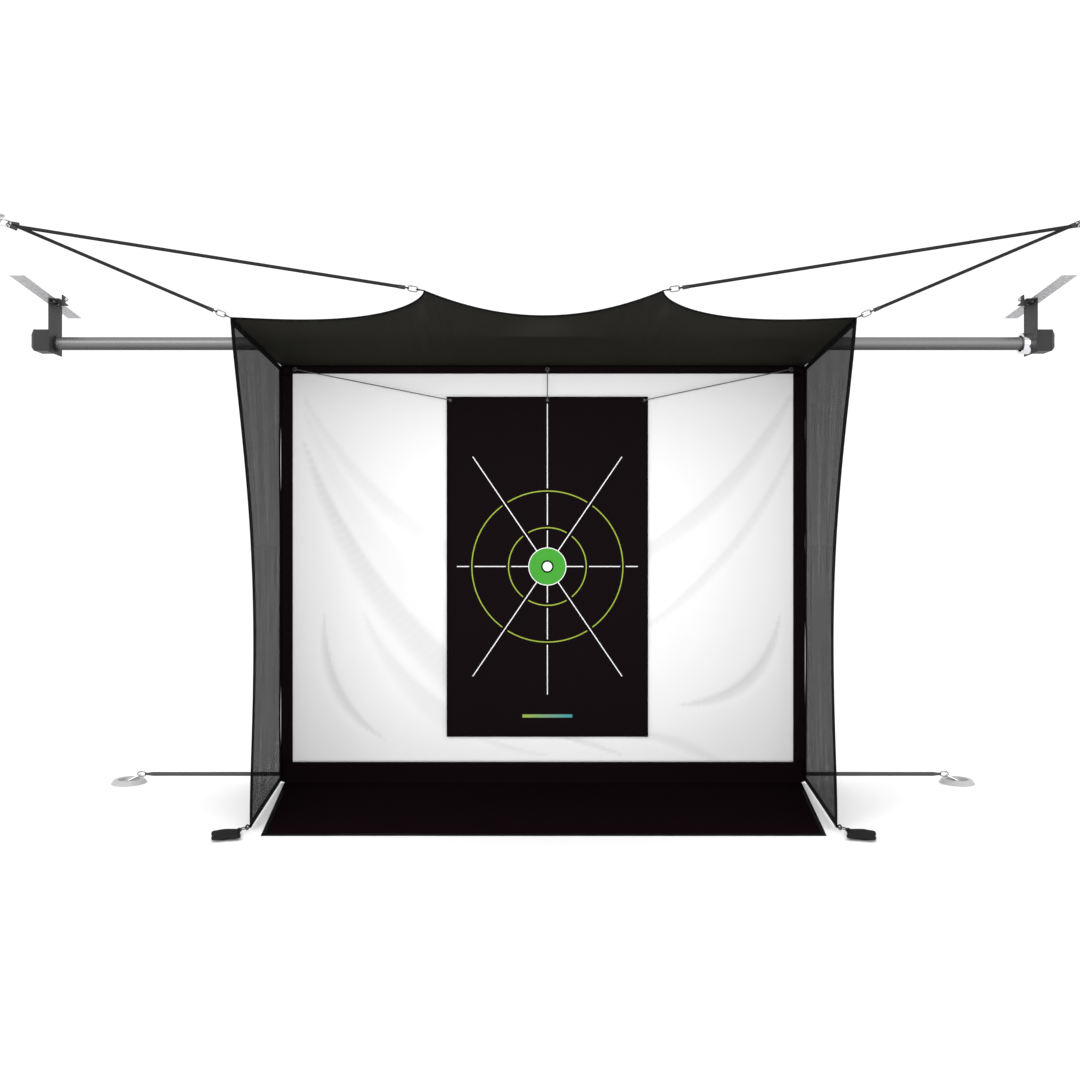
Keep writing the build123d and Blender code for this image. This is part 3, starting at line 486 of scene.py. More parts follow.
def make_finishes():
    """Every material of the object, by the record's slot names."""
    colours, cloth = settings().colours, settings().cloth
    return {
        # the screen's colour is darkened by painted shade along its folds
        "screen_cloth": woven("screen weave", tuple(colours.screen), cloth.weave_pitch, depth=0.17,
                              crease=0.88, relief=0.25, gloss=0.2),
        "black_cloth": woven("black weave", tuple(colours.black), cloth.weave_pitch),
        "skirt_cloth": woven("skirt weave", tuple(colours.black), cloth.weave_pitch * 1.2, gloss=0.0),
        "target_cloth": target_finish("printed target cloth", tuple(colours.black)),
        "top_mesh": netting("top netting", tuple(colours.top_net), cloth.net_cell * 0.7, 0.94),
        "side_mesh": netting("side netting", tuple(colours.side_net), cloth.net_cell, 0.715),
        "black_tape": ribbed("binding tape", tuple(colours.tape), 0.002),
        "grey_webbing": ribbed("strap webbing", tuple(colours.webbing), 0.0024),
        "bag_cloth": woven("bag canvas", tuple(colours.bag), cloth.weave_pitch * 1.1, relief=0.6),
        "grey_cord": braided("target cord braid", (0.13, 0.13, 0.13), 0.006),
        "bungee": braided("shock cord braid", (0.006, 0.006, 0.006), 0.010),
        "galvanised": galvanised("galvanised strip", (0.50, 0.50, 0.52)),
        "zinc": bare_metal("bright zinc", (0.5, 0.51, 0.53), 0.35),
        "chrome": bare_metal("polished chrome", (0.72, 0.73, 0.75), 0.12, spread=0.05),
        "link_steel": bare_metal("plain steel wire", (0.17, 0.175, 0.18), 0.35),
        "bracket_grey": powder_coat("bracket paint", tuple(colours.bracket), 0.5),
        # the roller's colour carries painted shade at its top and bottom
        "roller_tube": anodised("roller anodising", tuple(colours.tube)),
        "moulded_black": moulded("moulded housing", (0.006, 0.004, 0.0045)),
        "pan_grey": powder_coat("anchor pan paint", (0.46, 0.46, 0.46), 0.4, 0.2),
    }


FINISHES = {}


def dress(piece, slot, body, *replaced):
    """Gives a finished piece the material of its slot and its body, and hides the CAD nodes it stands for."""
    piece.data.materials.clear()
    piece.data.materials.append(FINISHES[slot])
    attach(piece, body)
    if replaced:
        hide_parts(*replaced)
    return piece


# ---- mesh building ----------------------------------------------------------------
def new_piece(name, mesh):
    piece = bpy.data.objects.new(name, mesh)
    bpy.context.scene.collection.objects.link(piece)
    return piece


def grid_mesh(name, point, columns, rows, size, crease=None):
    """A grid through point(u, v), u and v from 0 to 1, with a UV map of size in metres.

    Its columns are a number of even ones, or the shares u at which they stand.
    """
    us = np.linspace(0, 1, columns + 1) if isinstance(columns, int) else columns
    vs = np.linspace(0, 1, rows + 1)
    spots = [point(u, v) for v in vs for u in us]
    across = len(us)
    faces = []
    for row in range(rows):
        for column in range(across - 1):
            first = row * across + column
            faces.append((first, first + 1, first + across + 1, first + across))
    mesh = bpy.data.meshes.new(name)
    mesh.from_pydata(spots, [], faces)
    layer = mesh.uv_layers.new(name="cloth")
    laid = np.array([(u * size[0], v * size[1]) for v in vs for u in us], np.float32)
    corners = np.zeros(len(mesh.loops), np.int32)
    mesh.loops.foreach_get("vertex_index", corners)
    layer.data.foreach_set("uv", laid[corners].ravel())
    # painted shade of the folds, kept on each point for the material
    if crease:
        shade = mesh.attributes.new("crease", "FLOAT", "POINT")
        shade.data.foreach_set("value", np.array([crease(p) for p in spots], np.float32))
    mesh.polygons.foreach_set("use_smooth", [True] * len(mesh.polygons))
    mesh.update()
    return mesh


def baked(piece):
    """Applies a piece's modifiers, so that its mesh is plain."""
    shapes = bpy.context.evaluated_depsgraph_get()
    mesh = bpy.data.meshes.new_from_object(piece.evaluated_get(shapes))
    piece.modifiers.clear()
    old = piece.data
    piece.data = mesh
    mesh.name = piece.name
    if isinstance(old, bpy.types.Mesh):
        bpy.data.meshes.remove(old)
    return piece


def thickened(piece, thickness, offset=0.0):
    """Gives a sheet its thickness, as a closed shell."""
    solid = piece.modifiers.new("thickness", "SOLIDIFY")
    solid.thickness, solid.offset = thickness, offset
    solid.use_even_offset = False
    solid.use_rim = True
    return baked(piece)


def cloth_piece(name, point, columns, rows, size, thickness, crease=None):
    piece = new_piece(name, grid_mesh(name, point, columns, rows, size, crease))
    return thickened(piece, thickness)


def ripple(place, scale, seed):
    """Smooth noise from -1 to 1."""
    return noise.noise(Vector(place) * scale + Vector((seed, seed * 1.7, seed * 0.3)))


def joined(name, meshes):
    """One mesh from several, with their UV maps."""
    shape = bmesh.new()
    for mesh in meshes:
        shape.from_mesh(mesh)
        bpy.data.meshes.remove(mesh)
    whole = bpy.data.meshes.new(name)
    shape.to_mesh(whole)
    shape.free()
    whole.polygons.foreach_set("use_smooth", [True] * len(whole.polygons))
    return whole


def tube_mesh(name, points, radius, sides=10):
    """A closed tube along points, with a UV map of metres along and turns round it."""
    points = [Vector(p) for p in points]
    shape = bmesh.new()
    layer = shape.loops.layers.uv.new("cloth")
    side = (points[1] - points[0]).orthogonal().normalized()
    rings, along, reach = [], 0.0, []
    for index, spot in enumerate(points):
        before, after = points[max(index - 1, 0)], points[min(index + 1, len(points) - 1)]
        way = (after - before).normalized()
        side = (side - way * side.dot(way)).normalized()
        other = way.cross(side)
        turns = [math.tau * k / sides for k in range(sides)]
        rings.append([shape.verts.new(spot + (side * math.cos(a) + other * math.sin(a)) * radius)
                      for a in turns])
        along += (spot - before).length if index else 0.0
        reach.append(along)
    for index in range(len(rings) - 1):
        for k in range(sides):
            face = shape.faces.new((rings[index][k], rings[index][(k + 1) % sides],
                                    rings[index + 1][(k + 1) % sides], rings[index + 1][k]))
            face.smooth = True
            spots = ((index, k), (index, k + 1), (index + 1, k + 1), (index + 1, k))
            for loop, (row, turn) in zip(face.loops, spots):
                loop[layer].uv = (reach[row], turn / sides)
    shape.faces.new(list(reversed(rings[0])))
    shape.faces.new(rings[-1])
    mesh = bpy.data.meshes.new(name)
    shape.to_mesh(mesh)
    shape.free()
    return mesh


def route_points(name, route, steps=12):
    """Points along the smooth NURBS line of a cord's route."""
    curve = bpy.data.curves.new(name, "CURVE")
    curve.dimensions = "3D"
    curve.resolution_u = steps
    spline = curve.splines.new("NURBS")
    spline.points.add(len(route) - 1)
    for spot, place in zip(spline.points, route):
        spot.co = (*place, 1)
    spline.order_u = 3
    spline.use_endpoint_u = True
    piece = new_piece(name, curve)
    bpy.context.view_layer.update()
    line = bpy.data.meshes.new_from_object(piece)
    points = [v.co.copy() for v in line.vertices]
    bpy.data.objects.remove(piece)
    bpy.data.curves.remove(curve)
    bpy.data.meshes.remove(line)
    return points


# ---- Geometry Nodes: rows of stitches ---------------------------------------------
def stitch_tree():
    """Node tree that sews a row of short threads along every line of a curve."""
    tree = bpy.data.node_groups.new("stitch row", "GeometryNodeTree")
    sockets = tree.interface
    sockets.new_socket("Geometry", in_out="INPUT", socket_type="NodeSocketGeometry")
    for label in ("Pitch", "Length", "Thickness"):
        sockets.new_socket(label, in_out="INPUT", socket_type="NodeSocketFloat")
    sockets.new_socket("Thread", in_out="INPUT", socket_type="NodeSocketMaterial")
    sockets.new_socket("Geometry", in_out="OUTPUT", socket_type="NodeSocketGeometry")
    make, link = tree.nodes.new, tree.links.new
    given, result = make("NodeGroupInput"), make("NodeGroupOutput")
    even = make("GeometryNodeResampleCurve")
    even.mode = "LENGTH"
    link(given.outputs["Geometry"], even.inputs["Curve"])
    link(given.outputs["Pitch"], even.inputs["Length"])
    thread = make("GeometryNodeMeshCylinder")
    thread.inputs["Vertices"].default_value = 6
    half = make("ShaderNodeMath")
    half.operation = "MULTIPLY"
    half.inputs[1].default_value = 0.5
    link(given.outputs["Thickness"], half.inputs[0])
    link(half.outputs[0], thread.inputs["Radius"])
    link(given.outputs["Length"], thread.inputs["Depth"])
    tangent = make("GeometryNodeInputTangent")
    align = make("FunctionNodeAlignRotationToVector")
    align.axis = "Z"
    link(tangent.outputs[0], align.inputs["Vector"])
    sow = make("GeometryNodeInstanceOnPoints")
    link(even.outputs[0], sow.inputs["Points"])
    link(thread.outputs["Mesh"], sow.inputs["Instance"])
    link(align.outputs[0], sow.inputs["Rotation"])
    real = make("GeometryNodeRealizeInstances")
    link(sow.outputs[0], real.inputs[0])
    colour = make("GeometryNodeSetMaterial")
    link(real.outputs[0], colour.inputs["Geometry"])
    link(given.outputs["Thread"], colour.inputs["Material"])
    link(colour.outputs[0], result.inputs["Geometry"])
    return tree


def set_input(modifier, label, value):
    """Sets a Geometry Nodes input by its socket's identifier."""
    for item in modifier.node_group.interface.items_tree:
        if item.item_type == "SOCKET" and item.in_out == "INPUT" and item.name == label:
            modifier[item.identifier] = value


def sew(name, lines, body, thread):
    """Stitches along lines, each a list of points, as one plain mesh that rides on a body."""
    cloth = settings().cloth
    curve = bpy.data.curves.new(name, "CURVE")
    curve.dimensions = "3D"
    for line in lines:
        spline = curve.splines.new("POLY")
        spline.points.add(len(line) - 1)
        for spot, place in zip(spline.points, line):
            spot.co = (*place, 1)
    guide = new_piece(name + "_guide", curve)
    modifier = guide.modifiers.new("stitches", "NODES")
    modifier.node_group = bpy.data.node_groups.get("stitch row") or stitch_tree()
    set_input(modifier, "Pitch", cloth.stitch_pitch)
    set_input(modifier, "Length", cloth.stitch_length)
    set_input(modifier, "Thickness", cloth.stitch_width)
    set_input(modifier, "Thread", FINISHES[thread])
    bpy.context.view_layer.update()
    shapes = bpy.context.evaluated_depsgraph_get()
    mesh = bpy.data.meshes.new_from_object(guide.evaluated_get(shapes))
    mesh.name = name
    bpy.data.objects.remove(guide)
    piece = new_piece(name, mesh)
    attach(piece, body)
    return piece


# ---- the cloth's own shapes ------------------------------------------------------
def bezier(points, share):
    """Point on a curve through three guiding points."""
    first, middle, last = (np.array(p) for p in points)
    return (1 - share) ** 2 * first + 2 * share * (1 - share) * middle + share**2 * last


# soft folds of the screen: three guiding points (x, z), half widths at its ends and middle, strength of their
# depth and of their painted shade
FOLDS = (
    (((-1.184, 1.912), (-0.93, 1.45), (-0.44, 1.15)), (0.010, 0.030, 0.045), 0.55),
    (((-1.190, 1.850), (-0.92, 1.25), (-0.44, 0.80)), (0.010, 0.050, 0.090), 0.35),
    (((-1.195, 1.700), (-0.98, 1.05), (-0.44, 0.56)), (0.008, 0.045, 0.070), 1.00),
    (((-0.895, 0.844), (-0.76, 0.52), (-0.44, 0.32)), (0.006, 0.035, 0.050), 0.55),
    (((-1.096, 0.840), (-1.12, 0.42), (-0.80, 0.225)), (0.004, 0.036, 0.004), 1.10),
    (((1.235, 1.930), (0.95, 1.42), (0.47, 1.14)), (0.012, 0.040, 0.030), 0.75),
    (((1.254, 1.690), (1.02, 1.15), (0.54, 0.80)), (0.010, 0.026, 0.012), 0.70),
    (((1.186, 0.836), (1.12, 0.42), (0.68, 0.390)), (0.004, 0.042, 0.004), 1.10),
    (((-0.320, 0.228), (-0.15, 0.165), (0.02, 0.140)), (0.008, 0.014, 0.004), 0.50),
    (((0.100, 0.228), (0.25, 0.190), (0.39, 0.140)), (0.008, 0.016, 0.004), 0.80),
    (((0.480, 0.240), (0.66, 0.210), (0.87, 0.108)), (0.008, 0.034, 0.014), 0.60),
)
FOLD_STEPS = 33


def fold_tables():
    """Each fold's points, half widths and directions along it."""
    tables = []
    for guide, widths, strength in FOLDS:
        shares = np.linspace(0, 1, FOLD_STEPS)
        spots = np.array([bezier(guide, s) for s in shares])
        wide = np.array([float(bezier([(w, 0) for w in widths], s)[0]) for s in shares])
        ways = np.gradient(spots, axis=0)
        ways /= np.linalg.norm(ways, axis=1)[:, None]
        tables.append((spots, wide, ways, strength))
    return tables


FOLD_TABLES = fold_tables()


def fold_at(x, z):
    """Painted shade from 0 to 1 and depth share of the folds at a place on the screen."""
    shade, depth = 0.0, 0.0
    for spots, wide, ways, strength in FOLD_TABLES:
        away = np.array((x, z)) - spots
        nearest = int(np.argmin((away**2).sum(1)))
        way, off = ways[nearest], away[nearest]
        along = abs(off @ way)
        side = (off[0] * way[1] - off[1] * way[0]) / wide[nearest]
        if side * (1 if x < 0 else -1) > 0:
            side *= 0.55
        fade = max(0.0, 1 - along / (3 * wide[nearest]))
        lump = math.exp(-1.6 * side**4) * strength * fade
        shade = max(shade, lump)
        depth = max(depth, math.exp(-side * side) * strength * fade * min(1, wide[nearest] / 0.03))
    return shade, depth


def screen_point(u, v):
    """Place on the impact screen, with its folds pressed back and slow waves."""
    x = SCREEN_LOW.x + (SCREEN_HIGH.x - SCREEN_LOW.x) * u
    z = SCREEN_LOW.z + (SCREEN_HIGH.z - SCREEN_LOW.z) * v
    edge = min(1.0, min(u, 1 - u) / 0.04) * min(1.0, min(v, 1 - v) / 0.05)
    wave = 0.0016 * ripple((x, 0, z), 1.6, 3.0) + 0.0006 * ripple((x, 0, z), 6.0, 9.0)
    depth = fold_at(x, z)[1] * settings().cloth.fold_depth
    return at(x, 0.0015 + (wave + depth) * edge, z)


# painted shade of the screen's folds, from 0 to 1, for its colour
def screen_painted_shade(place):
    return fold_at(place.x, place.z)[0]


def top_front(x):
    """Front edge of the top net: hanging curves between its four held points."""
    far, out = TOP_CORNER.x, abs(x)
    if out <= PEAK.x:
        share = (out / PEAK.x) ** 2
        return Vector((x, DIP.y + (PEAK.y - DIP.y) * share, DIP.z + (PEAK.z - DIP.z) * share))
    share = min(1.0, (out - PEAK.x) / (far - PEAK.x))
    rise, fall = SIDE_DIP_POWERS
    belly = (share / SIDE_DIP_AT) ** rise * ((1 - share) / (1 - SIDE_DIP_AT)) ** fall
    edge = PEAK.lerp(TOP_CORNER, share)
    dip = SIDE_DIP - PEAK.lerp(TOP_CORNER, SIDE_DIP_AT)
    return Vector((x, edge.y + belly * dip.y, edge.z + belly * dip.z))


def top_columns(middle=36, outer=64):
    """Shares across the top net, with columns on the peaks and closer together beside them."""
    far = TOP_CORNER.x
    right = [PEAK.x * i / middle for i in range(middle)]
    right += [PEAK.x + (far - PEAK.x) * (i / outer) ** 1.5 for i in range(outer + 1)]
    places = [-x for x in reversed(right[1:])] + right
    return [0.5 + x / far / 2 for x in places]


def top_point(u, v):
    """Place on the top net; u across from the left, v forward from the seam."""
    x = TOP_CORNER.x * (2 * u - 1)
    front = top_front(x)
    back = Vector((x * NET_HALF / TOP_CORNER.x, 0.0, SEAM_Z + 0.002))
    place = back.lerp(front, v)
    sag = 4 * v * (1 - v)
    pull = math.exp(-((abs(x) - PEAK.x) / 0.16) ** 2) * v * sag
    wrinkle = 0.005 * math.sin((abs(x) - PEAK.x) * 95) * pull
    place.z += 0.0015 - 0.006 * sag + wrinkle + 0.002 * ripple((x, v, 0), 3.0, 5.0) * sag
    return at(*place)


def side_point(side, u, v):
    """Place on a side net; u forward from the back seam, v up."""
    back = Vector((NET_HALF, 0, LOW_CORNER.z + SIDE_TALL * v))
    front = LOW_CORNER.lerp(TOP_CORNER, v)
    front.y += (4 * v * (1 - v)) ** CUT_POWER * SIDE_CUT
    place = back.lerp(front, u)
    slack = 4 * u * (1 - u)
    drape = 0.004 * math.sin(u * 21 + 5 * v) * slack
    drape += 0.003 * ripple((0, u * 2, v * 3), 1.8, 2.0 + side)
    corner = math.exp(-((1 - u) ** 2 + (1 - v) ** 2) / 0.02) + math.exp(-((1 - u) ** 2 + v**2) / 0.02)
    pull = 0.003 * math.sin(((1 - u) - abs(v - round(v))) * 60) * corner
    calm = min(1, 8 * (1 - u)) * min(1, 9 * v, 9 * (1 - v))
    place.x += 0.0015 + (drape + pull) * calm
    return at(side * place.x, place.y, place.z)


def row_length(side, v):
    """Length of a side net's row at a share of its height."""
    return (side_point(side, 1, v) - side_point(side, 0, v)).length


# ---- hardware places, measured from the screen, on the right-hand side -------------
HOOK_Z, HOOK_Y = 2.078, -0.010
KNOT_Y, KNOT_Z, KNOT_R = -0.0199, 1.922, 0.0075
LOOP_R, TARGET_CORD_R = 0.009, 0.00225
BUNGEE_R = 0.007
BUNGEE_ENDS = {
    "corner": ((1.39628, -0.94495, 2.18554), (2.09272, -1.12486, 2.46865)),
    "peak": ((0.58399, -1.08377, 2.24116), (2.09088, -1.14372, 2.46528)),
}
TARGET_CORDS = {
    "left": ((-1.246, -1.23718), -0.465),
    "centre": ((0.022, 0.022), 0.022),
    "right": ((1.246, 1.23720), 0.509),
}
TAB_FRAMES = {
    "corner": ((1.32309, -0.92571, 2.15610), (0.9016, -0.2400, 0.3598), (-0.2573, -0.9663, 0.0)),
    "peak": ((0.50375, -1.08076, 2.22906), (0.9880, -0.0355, 0.1504), (-0.0359, -0.9994, 0.0)),
    "bag": ((1.24340, -0.89765, 0.01600), (0.4699, -0.8827, 0.0), (0.0, 0.0, 1.0)),
}
BAG_WAY = Vector((0.4699, -0.8827, 0.0))
BAG_BAR = Vector((1.26412, -0.93658, 0.016))
BAG_CENTRE = Vector((1.30141, -1.00664, 0.0))
BAG_HALF, BAG_HIGH = 0.054, 0.042
STRAP_Z, STRAP_START, STRAP_BAR = 0.045, 1.3224, 1.99662
ROLLER_Y, ROLLER_Z, TUBE_R = -0.033, 2.202, 0.0325


def mirrored(side, place):
    """A point or direction of the right-hand half, on the side asked for."""
    return Vector((side * place[0], place[1], place[2]))


def placed(side, place):
    return at(*mirrored(side, place))


# ---- operators ------------------------------------------------------------------
class EnclosureOperator:
    """What the operators share."""

    bl_options = {"REGISTER", "UNDO"}

    def execute(self, context):
        self.build()
        return {"FINISHED"}


class GOLF_OT_stage(EnclosureOperator, bpy.types.Operator):
    """Camera, pale floor and soft studio light"""

    bl_idname = "golf.stage"
    bl_label = "Stage"

    def build(self):
        stage, scene = settings().stage, bpy.context.scene
        camera = bpy.data.objects.new("camera", bpy.data.cameras.new("camera"))
        camera.data.lens = camera.data.sensor_width = 36.0
        camera.data.clip_end = 500.0
        camera.location = at(stage.offset, -stage.distance, stage.height)
        camera.rotation_euler = (math.pi / 2, 0, 0)
        scene.collection.objects.link(camera)
        scene.camera = camera
        scene.view_settings.view_transform = "Standard"

        half = stage.floor_size / 2
        floor = new_piece("floor", bpy.data.meshes.new("floor"))
        corners = [(-half, -half, 0), (half, -half, 0), (half, half, 0), (-half, half, 0)]
        floor.data.from_pydata([Vector(c) - Vector((0, 0, 0.0005)) for c in corners], [], [(0, 1, 2, 3)])
        floor.data.materials.append(self.floor_finish())

        self.softbox("key", (-3.6, -5.2, 4.4), (0, 0.2, 1.0), 3.0, stage.key_light)
        self.softbox("fill", (4.2, -4.6, 2.6), (0, 0.2, 1.0), 3.5, stage.fill_light)
        self.softbox("front", (0, -7.2, 2.2), (0, 0, 1.3), 4.5, stage.front_light)
        self.softbox("top", (0, -0.6, 5.4), (0, 0.3, 1.6), 4.0, stage.top_light)
        world = bpy.data.worlds.new("studio")
        world.use_nodes = True
        sky = world.node_tree.nodes["Background"]
        sky.inputs["Color"].default_value = (1, 1, 1, 1)
        sky.inputs["Strength"].default_value = stage.sky
        scene.world = world

    @staticmethod
    def floor_finish():
        finish = Finish("pale floor")
        cloud = finish.noise(finish.place(), 0.8, 3.0)
        base = finish.tone((0.95, 0.95, 0.95), cloud, 0.02)
        return finish.surface(base, 0.7 + (cloud - 0.5) * 0.1, Specular_IOR_Level=0.2)

    @staticmethod
    def softbox(name, place, aim, size, power):
        light = bpy.data.lights.new(name, "AREA")
        light.shape, light.size, light.energy = "DISK", size, power
        lamp = bpy.data.objects.new(name, light)
        lamp.location = at(*place)
        lamp.rotation_euler = (at(*aim) - at(*place)).to_track_quat("-Z", "Y").to_euler()
        bpy.context.scene.collection.objects.link(lamp)


class GOLF_OT_bungee_cords(EnclosureOperator, bpy.types.Operator):
    """Four stretched shock cords from the top net to the ceiling rings"""

    bl_idname = "golf.bungee_cords"
    bl_label = "Bungee cords"

    def build(self):
        for label, side in SIDES.items():
            for name, ends in BUNGEE_ENDS.items():
                start, end = (placed(side, place) for place in ends)
                make_cord(f"{label}_{name}_shock_cord", start, end, BUNGEE_R, "bungee", "root",
                          f"{label}_{name}_cord")


def make_cord(name, start, end, radius, slot, body, replaced):
    """A taut cord: straight out of its start, straight into its end."""
    lead = (end - start).normalized() * min(12 * radius, (end - start).length / 3)
    points = route_points(name + "_route", (start, start + lead, end - lead, end))
    piece = new_piece(name, tube_mesh(name, points, radius, 14))
    dress(piece, slot, body, replaced)
    length = sum((b - a).length for a, b in zip(points, points[1:]))
    return piece


class GOLF_OT_target_cords(EnclosureOperator, bpy.types.Operator):
    """Three thin cords that hang the target, each with its loop and knot"""

    bl_idname = "golf.target_cords"
    bl_label = "Target cords"

    def build(self):
        for name, ((hook_x, start_x), knot_x) in TARGET_CORDS.items():
            hook, knot = at(hook_x, HOOK_Y, HOOK_Z), at(knot_x, KNOT_Y, KNOT_Z)
            start = hook + (knot - hook).normalized() * LOOP_R
            ties = new_piece(f"{name}_cord_ties", joined("ties", [self.loop(hook), self.knot(knot)]))
            dress(ties, "grey_cord", "target")
            make_cord(f"{name}_hanging_cord", start, knot, TARGET_CORD_R, "grey_cord", "target",
                      f"target_cord_{name}")

    @staticmethod
    def loop(hook):
        turns = [math.tau * i / 32 for i in range(33)]
        points = [hook + Vector((math.cos(a), 0, math.sin(a))) * LOOP_R for a in turns]
        return tube_mesh("loop", points, 0.002, 10)

    @staticmethod
    def knot(centre):
        """A small overhand knot."""
        size, thick = (KNOT_R - TARGET_CORD_R) / 3, TARGET_CORD_R * 0.95
        points = []
        for index in range(61):
            turn = math.tau * index / 60
            across = math.sin(turn) + 2 * math.sin(2 * turn)
            tall = math.cos(turn) - 2 * math.cos(2 * turn)
            points.append(centre + Vector((across, -math.sin(3 * turn), tall)) * size)
        return tube_mesh("knot", points, thick, 10)


class GOLF_OT_screen(EnclosureOperator, bpy.types.Operator):
    """Impact screen with its folds, black border and leader cloth"""

    bl_idname = "golf.screen"
    bl_label = "Screen"

    overlap, border_thick, leader_y, leader_lap = 0.006, 0.0018, 0.0049, 0.028

    def build(self):
        size = SCREEN_HIGH - SCREEN_LOW
        # the folds are pressed into the screen's shape and also painted as shade in its colour
        screen = cloth_piece("impact_screen", screen_point, 200, 156, (size.x, size.z),
                             settings().cloth.thickness, screen_painted_shade)
        dress(screen, "screen_cloth", "root", "screen_panel")
        border = thickened(new_piece("screen_surround", self.border()), self.border_thick)
        dress(border, "black_cloth", "root", "screen_border")

        tall = ROLLER_Z - SEAM_Z + self.leader_lap
        wide = 2 * NET_HALF
        leader = cloth_piece("leader", self.leader_point, 96, 8, (wide, tall), settings().cloth.thickness)
        dress(leader, "black_cloth", "root", "leader_cloth")

    def border(self):
        top = self.strip(-NET_HALF, NET_HALF, SCREEN_HIGH.z - self.overlap, SEAM_Z, 120, 4)
        strips = [top]
        for side in SIDES.values():
            inner, outer = SCREEN_HIGH.x - self.overlap, NET_HALF - EDGE_GAP
            low, high = sorted((side * inner, side * outer))
            strips.append(self.strip(low, high, SCREEN_LOW.z, SCREEN_HIGH.z - self.overlap, 6, 96))
        return joined("border", strips)

    def strip(self, x_low, x_high, z_low, z_high, columns, rows):
        def point(u, v):
            x, z = x_low + (x_high - x_low) * u, z_low + (z_high - z_low) * v
            return at(x, self.border_thick / 2 + 0.0003 * ripple((x, 0, z), 7.0, 4.0), z)
        return grid_mesh("strip", point, columns, rows, (x_high - x_low, z_high - z_low))

    def leader_point(self, u, v):
        x = NET_HALF * (2 * u - 1)
        z = SEAM_Z - self.leader_lap + (ROLLER_Z - SEAM_Z + self.leader_lap) * v
        return at(x, self.leader_y + 0.0012 * ripple((x, 0, z), 5.0, 7.0) * math.sin(math.pi * v), z)


class GOLF_OT_roller_cloth(EnclosureOperator, bpy.types.Operator):
    """Leader cloth wound twice round the roller"""

    bl_idname = "golf.roller_cloth"
    bl_label = "Roller cloth"

    turns, first_radius, pitch, thick = 2, 0.0332, 0.0011, 0.0008

    def build(self):
        long = math.tau * self.turns * (self.first_radius + self.pitch * self.turns / 2)
        wide = 2 * NET_HALF
        roll = cloth_piece("wound_leader", self.point, 60, 112, (wide, long), self.thick)
        dress(roll, "black_cloth", "roller", "cloth_wrap")

    def point(self, u, v):
        x = NET_HALF * (2 * u - 1)
        turn = math.tau * self.turns * v
        radius = self.first_radius + self.pitch * self.turns * v + 0.0002 * ripple((x, v, 0), 4.0, 8.0)
        return at(x, ROLLER_Y + radius * math.cos(turn), ROLLER_Z + radius * math.sin(turn))


class GOLF_OT_top_net(EnclosureOperator, bpy.types.Operator):
    """Canopy net with its scalloped front edge and hem"""

    bl_idname = "golf.top_net"
    bl_label = "Top net"

    rows = 44

    def build(self):
        cloth, columns = settings().cloth, top_columns()
        wide, deep = 2 * NET_HALF, -PEAK.y
        net = cloth_piece("canopy_net", top_point, columns, self.rows, (wide, deep), cloth.thickness)
        area = sheet_area(top_point, 60, 12)
        dress(net, "top_mesh", "root", "top_net")
        hem = new_piece("canopy_hem", grid_mesh("hem", self.hem_point, columns, 4, (wide, TAPE)))
        thickened(hem, cloth.tape_thickness)
        dress(hem, "black_tape", "root")

    @staticmethod
    def hem_point(u, v):
        long = (top_point(u, 1) - top_point(u, 0)).length
        return top_point(u, 1 - (1 - v) * TAPE / long)


def sheet_area(point, columns, rows):
    """Area of the surface through point(u, v), in square metres."""
    area = 0.0
    for row in range(rows):
        for column in range(columns):
            u, v = column / columns, row / rows
            a, b, c = point(u, v), point(u + 1 / columns, v), point(u, v + 1 / rows)
            area += (b - a).cross(c - a).length
    return area


class GOLF_OT_side_nets(EnclosureOperator, bpy.types.Operator):
    """Side nets with the tape that binds their edges"""

    bl_idname = "golf.side_nets"
    bl_label = "Side nets"

    tape_thick = 0.0042

    def build(self):
        for label, side in SIDES.items():
            flat = (max(row_length(side, 1.0), row_length(side, 0.0)), SIDE_TALL)
            net = cloth_piece(f"{label}_net", lambda u, v: side_point(side, u, v), 64, 112, flat,
                              settings().cloth.thickness)
            dress(net, "side_mesh", "root", f"{label}_side_net")
            tape = thickened(new_piece(f"{label}_edge_tape", self.tapes(side, flat)), self.tape_thick)
            dress(tape, "black_tape", "root", f"{label}_side_binding")
            area = sheet_area(lambda u, v: side_point(side, u, v), 12, 60)

    @staticmethod
    def tapes(side, flat):
        """Front, back, bottom and top tape as one mesh."""
        share = TAPE / flat[1]

        def front(u, v):
            return side_point(side, 1 - (1 - u) * FRONT_TAPE / row_length(side, v), v)

        def back(u, v):
            return side_point(side, u * BACK_TAPE / row_length(side, v), v)

        def low(u, v):
            return side_point(side, u, v * share)

        def high(u, v):
            return side_point(side, u, 1 - (1 - v) * share)

        return joined("tapes", [grid_mesh("front", front, 4, 112, (FRONT_TAPE, flat[1])),
                                grid_mesh("back", back, 4, 112, (BACK_TAPE, flat[1])),
                                grid_mesh("low", low, 64, 3, (flat[0], TAPE)),
                                grid_mesh("high", high, 64, 3, (flat[0], TAPE))])


